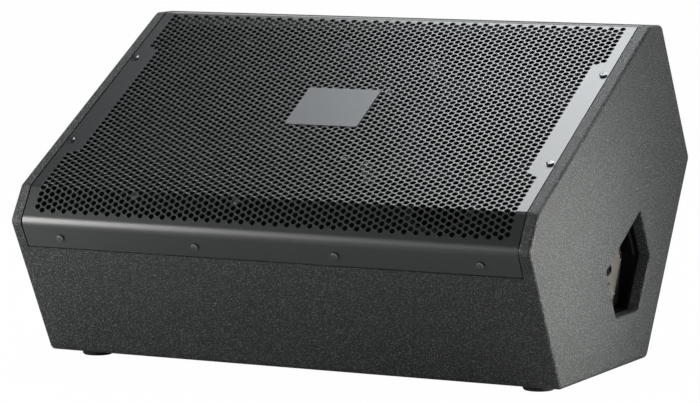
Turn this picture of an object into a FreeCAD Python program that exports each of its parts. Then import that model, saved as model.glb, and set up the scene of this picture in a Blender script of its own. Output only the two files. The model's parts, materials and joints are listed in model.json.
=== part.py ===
"""Stage monitor wedge: a plywood cabinet with a 15-inch woofer, a horn and a bent perforated grille.

Frame: X runs across the cabinet, the grille looks towards -Y and up, Z is up.
The origin lies on the floor, under the middle of the cabinet's depth and width.
Lengths are millimetres and angles are degrees.
"""
import FreeCAD, Part
import math
import os
import re

import Sketcher
from FreeCAD import Placement, Rotation, Vector

SIZES = {
    # cabinet: outline of the side panels, seen from the right, and board thicknesses
    "overall_width": 697.0,
    "side_thickness": 15.0,
    "board_thickness": 15.0,
    "base_depth": 273.0,
    "front_length": 195.5,
    "front_angle": 118.1,
    "band_length": 50.3,
    "band_angle": 58.7,
    "face_length": 389.0,
    "face_angle": 30.0,
    "top_depth": 42.5,
    "upper_back_angle": 60.6,
    "lower_back_angle": 59.8,
    "corner_radius": 10.0,
    "kink_radius": 6.0,
    "edge_radius": 5.0,
    "glue_line": 0.1,
    # baffle and what stands on it
    "baffle_thickness": 18.0,
    "baffle_setback": 31.0,
    "driver_drop": 5.5,
    "cleat_width": 18.0,
    "cleat_length": 50.0,
    "brace_thickness": 12.0,
    "brace_rim": 45.0,
    "lining_thickness": 20.0,
    "lining_margin": 24.0,
    "lining_side_gap": 40.0,
    "lining_brace_gap": 6.0,
    "soft_clearance": 0.3,
    # grille
    "grille_gap": 1.5,
    "grille_sheet": 1.5,
    "grille_recess": 0.4,
    "front_flange": 36.0,
    "top_flange": 26.0,
    "flange_screw_drop": 21.6,
    "flange_screw_inset": 51.5,
    "side_screw_inset": 8.0,
    "side_screw_spacing": 185.0,
    # openwork of the grille, as a plain grid of windows over the face and along the band
    "grille_margin": 16.5,
    "grille_columns": 12,
    "grille_rows": 8,
    "grille_rib": 14.0,
    "band_window": 26.0,
    "band_window_drop": 21.0,
    "bumper_diameter": 16.0,
    "bumper_gap": 3.0,
    "bumper_below": 107.0,
    "bumper_above": 113.0,
    "badge_width": 99.0,
    "badge_height": 78.5,
    "badge_thickness": 1.2,
    "badge_corner": 3.0,
    "badge_lift": 2.0,
    # screws
    "screw_clearance": 0.15,
    "grille_screw_shank": 4.0,
    "grille_screw_head": 8.6,
    "grille_screw_cap": 2.6,
    "grille_screw_length": 13.0,
    "small_screw_shank": 3.0,
    "small_screw_head": 6.4,
    "small_screw_cap": 1.8,
    "small_screw_length": 9.0,
    "plate_screw_head": 6.8,
    # woofer, measured from the baffle's front along its own axis; it fills what the face and the horn leave
    "woofer_margin": 10.0,
    "woofer_face_gap": 1.0,
    "driver_gap": 38.5,
    "woofer_seat": 16.5,
    "frame_shoulder": 13.0,
    "woofer_bolt_inset": 8.0,
    "woofer_rim": 7.0,
    "woofer_wall": 5.0,
    "frame_depth": 98.0,
    "frame_base": 208.0,
    "frame_bore": 116.0,
    "frame_shelf_width": 20.0,
    "spider_seat": 12.0,
    "frame_windows": 6,
    "woofer_bolts": 8,
    "bolt_diameter": 6.0,
    "bolt_head": 9.6,
    "bolt_cap": 3.2,
    "bolt_length": 28.0,
    "tee_nut_barrel": 8.0,
    "tee_nut_flange": 19.0,
    "tee_nut_sheet": 1.5,
    "tee_nut_reach": 9.0,
    "gasket_width": 7.0,
    "gasket_thickness": 2.5,
    "surround_width": 24.0,
    "surround_height": 8.0,
    "surround_skin": 1.2,
    "cone_lip": 6.0,
    "cone_depth": 60.0,
    "cone_skin": 1.6,
    "cone_bulge": 7.0,
    "cap_diameter": 116.0,
    "cap_rise": 18.0,
    "cap_skin": 1.0,
    "coil_diameter": 76.0,
    "former_wall": 0.6,
    "winding_wall": 0.9,
    "winding_length": 20.0,
    "coil_clearance": 0.6,
    "former_overlap": 3.0,
    "spider_skin": 1.2,
    "spider_wave": 3.0,
    "plate_diameter": 172.0,
    "plate_thickness": 8.0,
    "magnet_diameter": 178.0,
    "magnet_bore": 100.0,
    "magnet_thickness": 20.0,
    "back_plate_thickness": 8.0,
    "vent_diameter": 30.0,
    "terminal_height": 14.0,
    "terminal_width": 30.0,
    "terminal_depth": 11.0,
    # horn and its compression driver
    "horn_margin": 25.5,
    "horn_flange": 206.0,
    "horn_flange_thickness": 6.0,
    "horn_flange_corner": 14.0,
    "horn_lip": 13.0,
    "horn_seat": 8.0,
    "horn_screw_inset": 7.0,
    "horn_waist": 74.0,
    "horn_depth": 126.0,
    "horn_wall": 3.0,
    "horn_screw_length": 16.0,
    "throat_diameter": 35.0,
    "horn_adapter_width": 20.5,
    "horn_adapter_thickness": 6.0,
    "driver_bolt_offset": 11.0,
    "driver_diameter": 114.0,
    "driver_length": 30.0,
    "driver_bolt_length": 14.0,
    "rear_cap_step": 9.0,
    "rear_cap_length": 22.0,
    "rear_cap_wall": 3.0,
    "diaphragm_diameter": 60.0,
    "diaphragm_rise": 10.0,
    "diaphragm_rim": 7.0,
    "diaphragm_skin": 0.8,
    # ports, above and below the horn
    "port_gap": 8.0,
    "port_wall": 3.0,
    "port_lip": 6.0,
    "port_lip_thickness": 3.0,
    "port_length": 90.0,
    # handle recesses: distances of the opening's edges from the cabinet's outline
    "opening_from_base": 63.0,
    "opening_from_front": 179.6,
    "opening_from_face": 182.0,
    "opening_from_upper_back": 168.2,
    "opening_from_lower_back": 57.5,
    "opening_corner": 5.0,
    "opening_edge": 3.0,
    "cup_ledge": 0.5,
    "cup_rear_angle": 79.1,
    "cup_flange": 20.0,
    "cup_sheet": 3.0,
    "cup_depth": 25.5,
    "cup_screw_bite": 8.0,
    "lip_depth": 5.3,
    "lip_sheet": 2.0,
    "lip_width": 6.0,
    "plate_sheet": 2.5,
    "plate_margin": 1.0,
    "plate_screw_inset": 8.5,
    "plate_screw_rise": 8.0,
    "plate_screw_lean": 71.6,
    "window_margin": 6.0,
    # speaker socket, jack socket and selector switch of each connector plate
    "socket_width": 26.0,
    "socket_height": 31.0,
    "socket_flange": 2.5,
    "socket_body": 23.4,
    "socket_bore": 20.4,
    "socket_depth": 24.0,
    "socket_floor": 2.0,
    "socket_rise": 50.0,
    "socket_shift": -26.0,
    "socket_screw_up": 12.0,
    "socket_screw_across": 9.5,
    "socket_clearance": 0.3,
    "jack_shift": 13.2,
    "jack_barrel": 11.0,
    "jack_bore": 6.5,
    "jack_reach": 5.0,
    "jack_depth": 30.0,
    "jack_floor": 1.5,
    "jack_width": 15.0,
    "jack_height": 18.0,
    "nut_width": 14.0,
    "nut_thickness": 3.2,
    "switch_knob": 4.0,
    "switch_knob_height": 3.0,
    "switch_travel": 4.0,
    "switch_clearance": 0.3,
    "switch_shoe_length": 10.0,
    "switch_shoe_width": 7.5,
    "switch_shoe": 1.6,
    "switch_housing_length": 22.0,
    "switch_housing_width": 12.0,
    "switch_housing_depth": 10.0,
    "switch_rise": 31.0,
    "switch_shift": 18.0,
    # crossover
    "board_screw_bite": 8.0,
    "board_shift": 20.0,
    "board_length": 180.0,
    "board_width": 120.0,
    "board_sheet": 1.6,
    "board_back": 135.0,
    "standoff_height": 10.0,
    "standoff_diameter": 7.0,
    "standoff_inset": 8.0,
    "inductor_diameter": 56.0,
    "inductor_bore": 26.0,
    "inductor_height": 26.0,
    "capacitor_diameter": 22.0,
    "capacitor_length": 38.0,
    "resistor_length": 48.0,
    "resistor_side": 10.0,
    # feet
    "foot_diameter": 38.0,
    "foot_height": 8.0,
    "foot_bevel": 1.5,
    "foot_side_inset": 45.5,
    "foot_end_inset": 40.0,
    "foot_recess": 11.0,
    "foot_recess_depth": 4.6,
}


# sizes that follow from the ones above
LINKED = {
    "inner_width": "overall_width - 2 * side_thickness",
    "flange_screw_end": "inner_width / 2 - flange_screw_inset",
    "grid_across": "(inner_width - 2 * grille_margin) / grille_columns",
    "grid_along": "face_length / grille_rows",
    "room_beside_horn": "inner_width - woofer_margin - driver_gap - horn_flange - horn_margin",
    "woofer_diameter": "min(face_length - 2 * woofer_face_gap; room_beside_horn)",
    "woofer_position": "woofer_margin + woofer_diameter / 2 - inner_width / 2",
    "woofer_height": "face_length / 2 - driver_drop",
    "woofer_cutout": "woofer_diameter - 2 * woofer_seat",
    "woofer_bolt_circle": "woofer_diameter - 2 * woofer_bolt_inset",
    "frame_throat": "woofer_cutout - 2 * frame_shoulder",
    "frame_shelf": "frame_base / 2 - frame_shelf_width",
    "spider_outer": "frame_shelf + spider_seat",
    "horn_position": "inner_width / 2 - horn_margin - horn_flange / 2",
    "horn_mouth": "horn_flange - 2 * horn_lip",
    "horn_cutout": "horn_flange - 2 * horn_seat",
    "horn_screw_pitch": "horn_flange - 2 * horn_screw_inset",
    "horn_adapter": "throat_diameter + 2 * horn_adapter_width",
    "driver_bolt_pitch": "throat_diameter + 2 * driver_bolt_offset",
    "rear_cap_diameter": "driver_diameter - 2 * rear_cap_step",
    "port_outer": "(face_length - horn_flange) / 2",
    "port_bore": "port_outer - 2 * port_wall - 2 * port_lip",
    "upper_port_height": "woofer_height + horn_flange / 2 + port_gap + port_outer / 2",
    "lower_port_height": "woofer_height - horn_flange / 2 - port_gap - port_outer / 2",
    "side_screw_low": "woofer_height - side_screw_spacing / 2",
    "side_screw_high": "woofer_height + side_screw_spacing / 2",
    "bumper_position": "horn_position - horn_flange / 2 - bumper_gap - bumper_diameter / 2",
    "bumper_low": "woofer_height - bumper_below",
    "bumper_high": "woofer_height + bumper_above",
    "badge_position": "woofer_height + badge_lift",
    "brace_position": "woofer_position + woofer_diameter / 2 + driver_gap / 2",
    "board_position": "woofer_position + board_shift",
}


doc = FreeCAD.newDocument("stage_monitor_wedge")
sheet = doc.addObject("Spreadsheet::Sheet", "Sizes")
for row, (alias, entry) in enumerate([*SIZES.items(), *LINKED.items()], start=1):
    sheet.set("A%d" % row, alias)
    sheet.set("B%d" % row, "=" + entry if alias in LINKED else repr(entry))
    sheet.setAlias("B%d" % row, alias)
doc.recompute()
size = {alias: float(sheet.get(alias)) for alias in [*SIZES, *LINKED]}

WORD = re.compile(r"[a-z][a-z_]*")


def cells(text):
    """Turn an expression in plain size names into one that reads the sheet."""
    return WORD.sub(lambda match: "Sizes." + match[0] if match[0] in size else match[0], text)


def bind(item, **formulas):
    """Bind properties of a document object to the sheet."""
    for name, text in formulas.items():
        item.setExpression(name, cells(text))
    return item


# ---------------------------------------------------------------- plane geometry (Y, Z as x, y)

def heading(degrees):
    angle = math.radians(degrees)
    return Vector(math.cos(angle), math.sin(angle), 0)


def inward(direction):
    """Normal towards the inside of an outline that runs clockwise."""
    return Vector(direction.y, -direction.x, 0)


def meet(first, second):
    """Crossing point of two lines, each a point and a direction."""
    (point, along), (other, across) = first, second
    slope = along.x * across.y - along.y * across.x
    gap = other - point
    return point + along * ((gap.x * across.y - gap.y * across.x) / slope)


def inset_line(line, depth):
    point, direction = line
    return point + inward(direction) * depth, direction


def corners_of(lines):
    """Corner i of a closed outline lies between line i - 1 and line i."""
    return [meet(lines[index - 1], lines[index]) for index in range(len(lines))]


def arc_at(before, after, radius, depth=0.0):
    """Start, middle, end and centre of a rounded corner, drawn at a depth inside the outline."""
    centre = meet(inset_line(before, radius), inset_line(after, radius))
    start = centre - inward(before[1]) * (radius - depth)
    end = centre - inward(after[1]) * (radius - depth)
    bisector = inward(before[1]) + inward(after[1])
    middle = centre - bisector.normalize() * (radius - depth)
    return start, middle, end, centre


def half_arc(centre, start, end):
    """Arc about a centre, by way of the point halfway between its ends."""
    radius = (start - centre).Length
    middle = centre + (start + end - centre * 2).normalize() * radius
    return Part.Arc(start, middle, end)


def rounded_loop(lines, radius):
    """Closed outline of straight lines with one radius at every corner."""
    arcs = [arc_at(lines[index - 1], lines[index], radius) for index in range(len(lines))]
    loop = []
    for arc, following in zip(arcs, arcs[1:] + arcs[:1]):
        loop.append(Part.Arc(*arc[:3]))
        loop.append(Part.LineSegment(arc[2], following[0]))
    return loop


def straight_loop(points):
    return [Part.LineSegment(point, following)
            for point, following in zip(points, points[1:] + points[:1])]


def round_bar(points, radius):
    """Corner-rounded rectangle between two opposite corners."""
    low, high = points
    lines = [(Vector(low.x, low.y, 0), Vector(0, 1, 0)),
             (Vector(low.x, high.y, 0), Vector(1, 0, 0)),
             (Vector(high.x, high.y, 0), Vector(0, -1, 0)),
             (Vector(high.x, low.y, 0), Vector(-1, 0, 0))]
    return rounded_loop(lines, radius)


# ---------------------------------------------------------------- document objects

def origin_plane(body, role):
    return next(item for item in body.Origin.OriginFeatures if item.Role == role)


def new_body(label):
    return doc.addObject("PartDesign::Body", label)


def new_sketch(body, name, role, geometry=(), lift=0.0):
    sketch = body.newObject("Sketcher::SketchObject", name)
    sketch.AttachmentSupport = (origin_plane(body, role), "")
    sketch.MapMode = "FlatFace"
    sketch.AttachmentOffset = Placement(Vector(0, 0, lift), Rotation())
    sketch.addGeometry(list(geometry), False)
    return sketch


def add_circle(sketch, centre, diameter):
    """Circle whose diameter is an expression of the sheet's sizes."""
    index = sketch.addGeometry(Part.Circle(centre, Vector(0, 0, 1), 1.0), False)
    number = sketch.addConstraint(Sketcher.Constraint("Diameter", index, 2.0))
    sketch.setExpression("Constraints[%d]" % number, cells(diameter))
    return index


def bound_polygon(sketch, points):
    """Closed polygon whose corners are pairs of expressions of the sheet's sizes."""
    count = len(points)
    guesses = [Vector(10 + index, 5 * index * index + 1, 0) for index in range(count)]
    sketch.addGeometry(straight_loop(guesses), False)
    for index in range(count):
        sketch.addConstraint(Sketcher.Constraint("Coincident", index, 2, (index + 1) % count, 1))
    for index, pair in enumerate(points):
        for kind, text in zip(("DistanceX", "DistanceY"), pair):
            number = sketch.addConstraint(Sketcher.Constraint(kind, -1, 1, index, 1, 1.0))
            sketch.setExpression("Constraints[%d]" % number, cells(text))


def add_pad(body, sketch, length, middle=False, backwards=False):
    pad = body.newObject("PartDesign::Pad", body.Name + "_pad")
    pad.Profile = sketch
    pad.Midplane = middle
    pad.Reversed = backwards
    return bind(pad, Length=length)


def add_pocket(body, sketch, depth, backwards=False):
    """Pocket that must take something away."""
    doc.recompute()
    before = body.Shape.Volume
    pocket = body.newObject("PartDesign::Pocket", body.Name + "_pocket")
    pocket.Profile = sketch
    pocket.Reversed = backwards
    bind(pocket, Length=depth)
    doc.recompute()
    if body.Shape.Volume > before - 1.0:
        raise RuntimeError("a pocket cuts nothing in " + body.Label)
    return pocket


def add_fillet(body, radius, wanted):
    """Round the edges of the body's tip that the test picks."""
    doc.recompute()
    feature = body.Tip
    names = ["Edge%d" % number for number, edge in enumerate(feature.Shape.Edges, start=1)
             if wanted(edge)]
    fillet = body.newObject("PartDesign::Fillet", body.Name + "_fillet")
    fillet.Base = (feature, names)
    return bind(fillet, Radius=radius)


def turned(label, *profiles):
    """Body turned about its own Z axis from polygons of (radius, height) expressions."""
    body = new_body(label)
    for profile in profiles:
        sketch = new_sketch(body, label + "_profile", "XZ_Plane")
        bound_polygon(sketch, profile)
        turn(body, sketch)
    return body


def turned_from(label, geometry):
    """Body turned about its own Z axis from lines and arcs."""
    body = new_body(label)
    turn(body, new_sketch(body, label + "_profile", "XZ_Plane", geometry))
    return body


def turn(body, sketch, kind="PartDesign::Revolution"):
    revolution = body.newObject(kind, body.Name + "_turn")
    revolution.Profile = sketch
    revolution.ReferenceAxis = (sketch, ["V_Axis"])
    revolution.Angle = 360.0
    return revolution


def cylinder(label, diameter, height):
    item = doc.addObject("Part::Cylinder", label)
    return bind(item, Radius="(%s) / 2" % diameter, Height=height)


def copies(label, master, places):
    """Group of separate solids: one master repeated at several placements."""
    doc.recompute()
    solids = []
    for place in places:
        solid = master.Shape.copy()
        solid.Placement = place.multiply(solid.Placement)
        solids.append(solid)
    group = doc.addObject("Part::Feature", label)
    group.Shape = Part.makeCompound(solids)
    return group


def cut(label, base, *tools):
    """Base with every tool taken away."""
    for number, tool in enumerate(tools, start=1):
        last = number == len(tools)
        item = doc.addObject("Part::Cut", label if last else "%s_stage_%d" % (label, number))
        item.Base = base
        item.Tool = tool
        base = item
    return base


def bores(label, places, diameter, depth):
    """Straight holes: each runs both ways from its place, for depth into the material."""
    item = cylinder(label + "_bore", diameter, "2 * (%s)" % depth)
    doc.recompute()
    item.Placement = Placement(Vector(0, 0, -item.Height.Value / 2), Rotation())
    return copies(label, item, places)


def screw(label, shank, head, cap, length):
    """Pan-head screw: seat at z = 0, head above, shank below."""
    return turned(label, [("0", cap), (head + " / 2 - 0.6", cap), (head + " / 2", cap + " - 0.9"),
                          (head + " / 2", "0"), (shank + " / 2", "0"),
                          (shank + " / 2", "1 - (%s)" % length),
                          (shank + " / 2 - 0.8", "-(%s)" % length), ("0", "-(%s)" % length)])


# ---------------------------------------------------------------- layout of the cabinet

def outline_lines():
    """Lines of the side outline in order: front, band, face, top, upper back, lower back, base."""
    toe = Vector(0, 0, 0)
    chin = toe + heading(size["front_angle"]) * size["front_length"]
    brow = chin + heading(size["band_angle"]) * size["band_length"]
    crown = brow + heading(size["face_angle"]) * size["face_length"]
    nape = crown + Vector(size["top_depth"], 0, 0)
    heel = Vector(size["base_depth"], 0, 0)
    return [(toe, heading(size["front_angle"])),
            (chin, heading(size["band_angle"])),
            (brow, heading(size["face_angle"])),
            (crown, heading(0.0)),
            (nape, heading(-size["upper_back_angle"])),
            (heel, heading(180.0 + size["lower_back_angle"])),
            (heel, heading(180.0))]


FRONT, BAND, FACE, TOP, UPPER_BACK, LOWER_BACK, BASE = range(7)
lines = outline_lines()
points = corners_of(lines)
CORNER_RADII = [size["kink_radius"] if index == FACE else size["corner_radius"] for index in range(7)]
arcs = [arc_at(lines[index - 1], lines[index], CORNER_RADII[index]) for index in range(7)]

front_most = arcs[BAND][3].x - CORNER_RADII[BAND]
rear_most = arcs[LOWER_BACK][3].x + CORNER_RADII[LOWER_BACK]
middle_depth = (front_most + rear_most) / 2
HOME = Vector(0, -middle_depth, size["foot_height"])
inner_half = size["inner_width"] / 2
sheet_back = size["grille_recess"] + size["grille_sheet"]
board = size["board_thickness"]
faces_in = [inset_line(line, board) for line in lines]


def spot(y, z, x=0.0):
    """Point of the assembly from an outline point."""
    return HOME + Vector(x, y, z)


# the baffle's own frame: X across, Y up the slope from the brow's foot, Z out through the grille
baffle_front = inset_line(lines[FACE], size["baffle_setback"])
baffle_back = inset_line(lines[FACE], size["baffle_setback"] + size["baffle_thickness"])
SLOPE = Rotation(Vector(1, 0, 0), size["face_angle"])
BAFFLE = Placement(spot(baffle_front[0].x, baffle_front[0].y), SLOPE)


def on_baffle(x, height, z=0.0):
    return BAFFLE.multiply(Placement(Vector(x, height, z), Rotation()))


def along_baffle(point):
    return (point - baffle_front[0]).dot(baffle_front[1])


baffle_low = size["glue_line"] + max(along_baffle(meet(line, faces_in[FRONT]))
                                     for line in (baffle_front, baffle_back))
baffle_high = -size["glue_line"] + min(along_baffle(meet(line, faces_in[UPPER_BACK]))
                                       for line in (baffle_front, baffle_back))


# ---------------------------------------------------------------- cabinet boards

def mitred(index):
    """Section of a board along one line, mitred at both ends and rounded outside."""
    start, end = arcs[index], arcs[(index + 1) % 7]
    inner_start = meet(faces_in[index - 1], faces_in[index])
    inner_end = meet(faces_in[index], faces_in[(index + 1) % 7])
    return [half_arc(start[3], start[1], start[2]),
            Part.LineSegment(start[2], end[0]),
            half_arc(end[3], end[0], end[1]),
            Part.LineSegment(end[1], inner_end),
            Part.LineSegment(inner_end, inner_start),
            Part.LineSegment(inner_start, start[1])]


def front_section():
    """Front board: mitred to the base, topped by the baffle's front, rebated for the grille."""
    start = arcs[FRONT]
    seat = inset_line(lines[FRONT], sheet_back)
    reach = size["front_length"] - size["front_flange"] - size["grille_gap"]
    step_out = lines[FRONT][0] + lines[FRONT][1] * reach
    step_in = step_out + inward(lines[FRONT][1]) * sheet_back
    loop = [half_arc(start[3], start[1], start[2])]
    run = [start[2], step_out, step_in, meet(seat, baffle_front),
           meet(faces_in[FRONT], baffle_front), meet(faces_in[BASE], faces_in[FRONT]), start[1]]
    loop.extend(Part.LineSegment(*pair) for pair in zip(run, run[1:]))
    return loop


def top_section():
    """Top board: mitred to the upper back, rebated for the grille's top flange."""
    end = arcs[UPPER_BACK]
    crown = points[TOP]
    nose = arcs[TOP][2].x
    step = crown.x + size["top_flange"] + size["grille_gap"]
    run = [end[1], meet(faces_in[TOP], faces_in[UPPER_BACK]), Vector(nose, crown.y - board, 0),
           Vector(nose, crown.y - sheet_back, 0), Vector(step, crown.y - sheet_back, 0),
           Vector(step, crown.y, 0), end[0]]
    loop = [half_arc(end[3], end[0], end[1])]
    loop.extend(Part.LineSegment(*pair) for pair in zip(run, run[1:]))
    return loop


def cross_board(label, section, width="inner_width", x=0.0):
    """Board that runs across the cabinet, from its section."""
    body = new_body(label)
    add_pad(body, new_sketch(body, label + "_section", "YZ_Plane", section), width, middle=True)
    body.Placement = Placement(HOME + Vector(x, 0, 0), Rotation())
    return body


OPENING = [(LOWER_BACK, "opening_from_lower_back"), (BASE, "opening_from_base"),
           (FRONT, "opening_from_front"), (FACE, "opening_from_face"),
           (UPPER_BACK, "opening_from_upper_back")]


def opening_lines(inset):
    return [inset_line(lines[index], size[name] + inset) for index, name in OPENING]


def opening_loop(inset, radius):
    return rounded_loop(opening_lines(inset), radius)


def opening_corners(inset):
    return corners_of(opening_lines(inset))


def side_panel(label, side):
    """Side panel: outline with a five-sided hand opening; side is 1 on the right, -1 on the left."""
    thickness = size["side_thickness"]
    outside = thickness if side > 0 else 0.0
    body = new_body(label)
    loop = []
    for arc, following in zip(arcs, arcs[1:] + arcs[:1]):
        loop.append(Part.Arc(*arc[:3]))
        loop.append(Part.LineSegment(arc[2], following[0]))
    add_pad(body, new_sketch(body, label + "_outline", "YZ_Plane", loop), "side_thickness")

    def on_outside(edge):
        return all(abs(vertex.X - outside) < 0.01 for vertex in edge.Vertexes)

    add_fillet(body, "edge_radius", on_outside)
    hole = opening_loop(0.0, size["opening_corner"])
    sketch = new_sketch(body, label + "_opening", "YZ_Plane", hole)
    add_pocket(body, sketch, "side_thickness", backwards=True)
    corners = opening_corners(0.0)
    centre = sum(corners, Vector()) * (1 / len(corners))
    reach = max((corner - centre).Length for corner in corners)

    def on_opening(edge):
        return on_outside(edge) and all((Vector(vertex.Y, vertex.Z, 0) - centre).Length < reach
                                        for vertex in edge.Vertexes)

    add_fillet(body, "opening_edge", on_opening)
    body.Placement = Placement(HOME + Vector(side * inner_half - (thickness if side < 0 else 0), 0, 0),
                               Rotation())
    return body


# ---------------------------------------------------------------- places on the outline's faces

def on_line(index, x, distance, depth=0.0):
    """Place on an outer face: Y runs along its line, Z points out of the cabinet."""
    start, direction = lines[index]
    point = start + direction * distance + inward(direction) * depth
    turn_up = math.degrees(math.atan2(direction.y, direction.x))
    return Placement(spot(point.x, point.y, x), Rotation(Vector(1, 0, 0), turn_up))


def facing(side, x, point, outwards=True):
    """Place on a side wall, with Z out of the cabinet or into it."""
    quarter = 90.0 if (side > 0) == outwards else -90.0
    return Placement(spot(point.x, point.y, x), Rotation(Vector(0, 1, 0), quarter))


FLANGE_SCREWS = [on_line(FRONT, size["flange_screw_end"] * share,
                         size["front_length"] - size["flange_screw_drop"], size["grille_recess"])
                 for share in (-1.0, -1 / 3, 1 / 3, 1.0)]
SIDE_SCREWS = [on_line(FACE, side * (inner_half - size["side_screw_inset"]), height,
                       size["grille_recess"])
               for side in (-1, 1) for height in (size["side_screw_low"], size["side_screw_high"])]
FEET = [Placement(HOME + Vector(side * (size["overall_width"] / 2 - size["foot_side_inset"]), y,
                                -size["foot_height"]), Rotation())
        for side in (-1, 1)
        for y in (size["foot_end_inset"], size["base_depth"] - size["foot_end_inset"])]
UPSIDE_DOWN = Rotation(Vector(1, 0, 0), 180)
FOOT_SCREWS = [place.multiply(Placement(Vector(0, 0, size["foot_recess_depth"]), UPSIDE_DOWN))
               for place in FEET]
BOARD_CENTRE = HOME + Vector(size["board_position"], size["board_back"], board)
BOARD_CORNERS = [Placement(BOARD_CENTRE + Vector(sx * (size["board_length"] / 2 - size["standoff_inset"]),
                                                 sy * (size["board_width"] / 2 - size["standoff_inset"]),
                                                 0), Rotation())
                 for sx in (-1, 1) for sy in (-1, 1)]


def ring_of(count, radius, place, start=0.5):
    """Places evenly round a circle in another place's frame."""
    spots = []
    for index in range(count):
        angle = math.tau * (index + start) / count
        around = Vector(radius * math.cos(angle), radius * math.sin(angle), 0)
        spots.append(place.multiply(Placement(around, Rotation())))
    return spots


# ---------------------------------------------------------------- cabinet

def make_cabinet():
    for side, name in ((-1, "left"), (1, "right")):
        blank = side_panel("side_panel_%s_blank" % name, side)
        pilots = bores("side_pilots_" + name, cup_screw_places(side),
                       "small_screw_shank + 2 * screw_clearance",
                       "cup_sheet + cup_screw_bite + screw_clearance")
        cut("side_panel_" + name, blank, pilots)

    front = cross_board("front_panel_blank", front_section())
    pilots = bores("front_pilots", FLANGE_SCREWS, "grille_screw_shank + 2 * screw_clearance",
                   "grille_screw_length + screw_clearance")
    cut("front_panel", front, pilots)

    base = cross_board("bottom_panel_blank", mitred(BASE))
    foot_pilots = bores("foot_pilots", FOOT_SCREWS, "grille_screw_shank + 2 * screw_clearance",
                        "grille_screw_length + screw_clearance")
    board_pilots = bores("board_pilots", BOARD_CORNERS, "small_screw_shank + 2 * screw_clearance",
                         "board_screw_bite + screw_clearance")
    cut("bottom_panel", base, foot_pilots, board_pilots)

    cross_board("top_panel", top_section())
    cross_board("back_upper_panel", mitred(UPPER_BACK))
    cross_board("back_lower_panel", mitred(LOWER_BACK))


def make_baffle():
    body = new_body("baffle_blank")
    low = Vector(-inner_half, baffle_low, 0)
    high = Vector(inner_half, baffle_high, 0)
    board_sketch = new_sketch(body, "baffle_outline", "XY_Plane",
                              straight_loop([low, Vector(low.x, high.y, 0), high,
                                             Vector(high.x, low.y, 0)]))
    add_pad(body, board_sketch, "baffle_thickness", backwards=True)
    openings = new_sketch(body, "baffle_openings", "XY_Plane")
    add_circle(openings, Vector(size["woofer_position"], size["woofer_height"], 0), "woofer_cutout")
    for name in ("upper_port_height", "lower_port_height"):
        add_circle(openings, Vector(size["horn_position"], size[name], 0),
                   "port_bore + 2 * port_wall + 2 * screw_clearance")
    add_circle(openings, Vector(size["horn_position"], size["woofer_height"], 0), "horn_cutout")
    add_pocket(body, openings, "baffle_thickness")
    body.Placement = BAFFLE
    nuts = bores("tee_nut_bores", WOOFER_BOLTS, "tee_nut_barrel + 2 * screw_clearance",
                 "woofer_rim + baffle_thickness + 1")
    horn_pilots = bores("horn_pilots", HORN_SCREWS, "small_screw_shank + 2 * screw_clearance",
                        "horn_screw_length + screw_clearance")
    cut("baffle", body, nuts, horn_pilots)


def make_cleats():
    """Blocks under the grille's edges, one for each of its side screws."""
    for side, name in ((-1, "left"), (1, "right")):
        block = doc.addObject("Part::Box", "cleat_block_" + name)
        bind(block, Length="cleat_width", Width="cleat_length",
             Height="baffle_setback - grille_recess - grille_sheet")
        edge = inner_half - size["cleat_width"] if side > 0 else -inner_half
        blocks = copies("cleat_blocks_" + name, block,
                        [on_baffle(edge, size[height] - size["cleat_length"] / 2)
                         for height in ("side_screw_low", "side_screw_high")])
        pilots = bores("cleat_pilots_" + name, SIDE_SCREWS, "grille_screw_shank + 2 * screw_clearance",
                       "grille_screw_length + screw_clearance")
        cut("grille_cleats_" + name, blocks, pilots)


def bay_lines(depth):
    """Inside of the box behind the baffle, as a clockwise outline."""
    walls = [inset_line(lines[index], board + depth) for index in (FRONT, UPPER_BACK, LOWER_BACK, BASE)]
    rear = inset_line(lines[FACE], size["baffle_setback"] + size["baffle_thickness"] + depth)
    return [walls[0], rear] + walls[1:]


def make_brace():
    body = new_body("divider_brace")
    outline = straight_loop(corners_of(bay_lines(size["glue_line"])))
    window = rounded_loop(bay_lines(size["brace_rim"]), size["brace_rim"] / 2)
    sketch = new_sketch(body, "divider_brace_section", "YZ_Plane", outline + window)
    add_pad(body, sketch, "brace_thickness", middle=True)
    body.Placement = Placement(HOME + Vector(size["brace_position"], 0, 0), Rotation())


def make_lining():
    """Absorbent slabs on both rear boards, one each side of the brace."""
    half_brace = size["brace_thickness"] / 2 + size["lining_brace_gap"]
    edge = inner_half - size["lining_side_gap"]
    bays = [(-edge, size["brace_position"] - half_brace), (size["brace_position"] + half_brace, edge)]
    slabs = []
    for index in (UPPER_BACK, LOWER_BACK):
        near = inset_line(lines[index], board + size["soft_clearance"])
        far = inset_line(lines[index], board + size["soft_clearance"] + size["lining_thickness"])
        start = meet(near, faces_in[index - 1] if index == LOWER_BACK else baffle_back)
        end = meet(near, faces_in[(index + 1) % 7])
        margin = near[1] * size["lining_margin"]
        across = far[0] - near[0]
        corners = [start + margin, end - margin, end - margin + across, start + margin + across]
        for low, high in bays:
            section = Part.Face(Part.makePolygon([spot(p.x, p.y, low) for p in corners + corners[:1]]))
            slabs.append(section.extrude(Vector(high - low, 0, 0)))
    item = doc.addObject("Part::Feature", "lining_foam")
    item.Shape = Part.makeCompound(slabs)


# ---------------------------------------------------------------- grille

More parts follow.
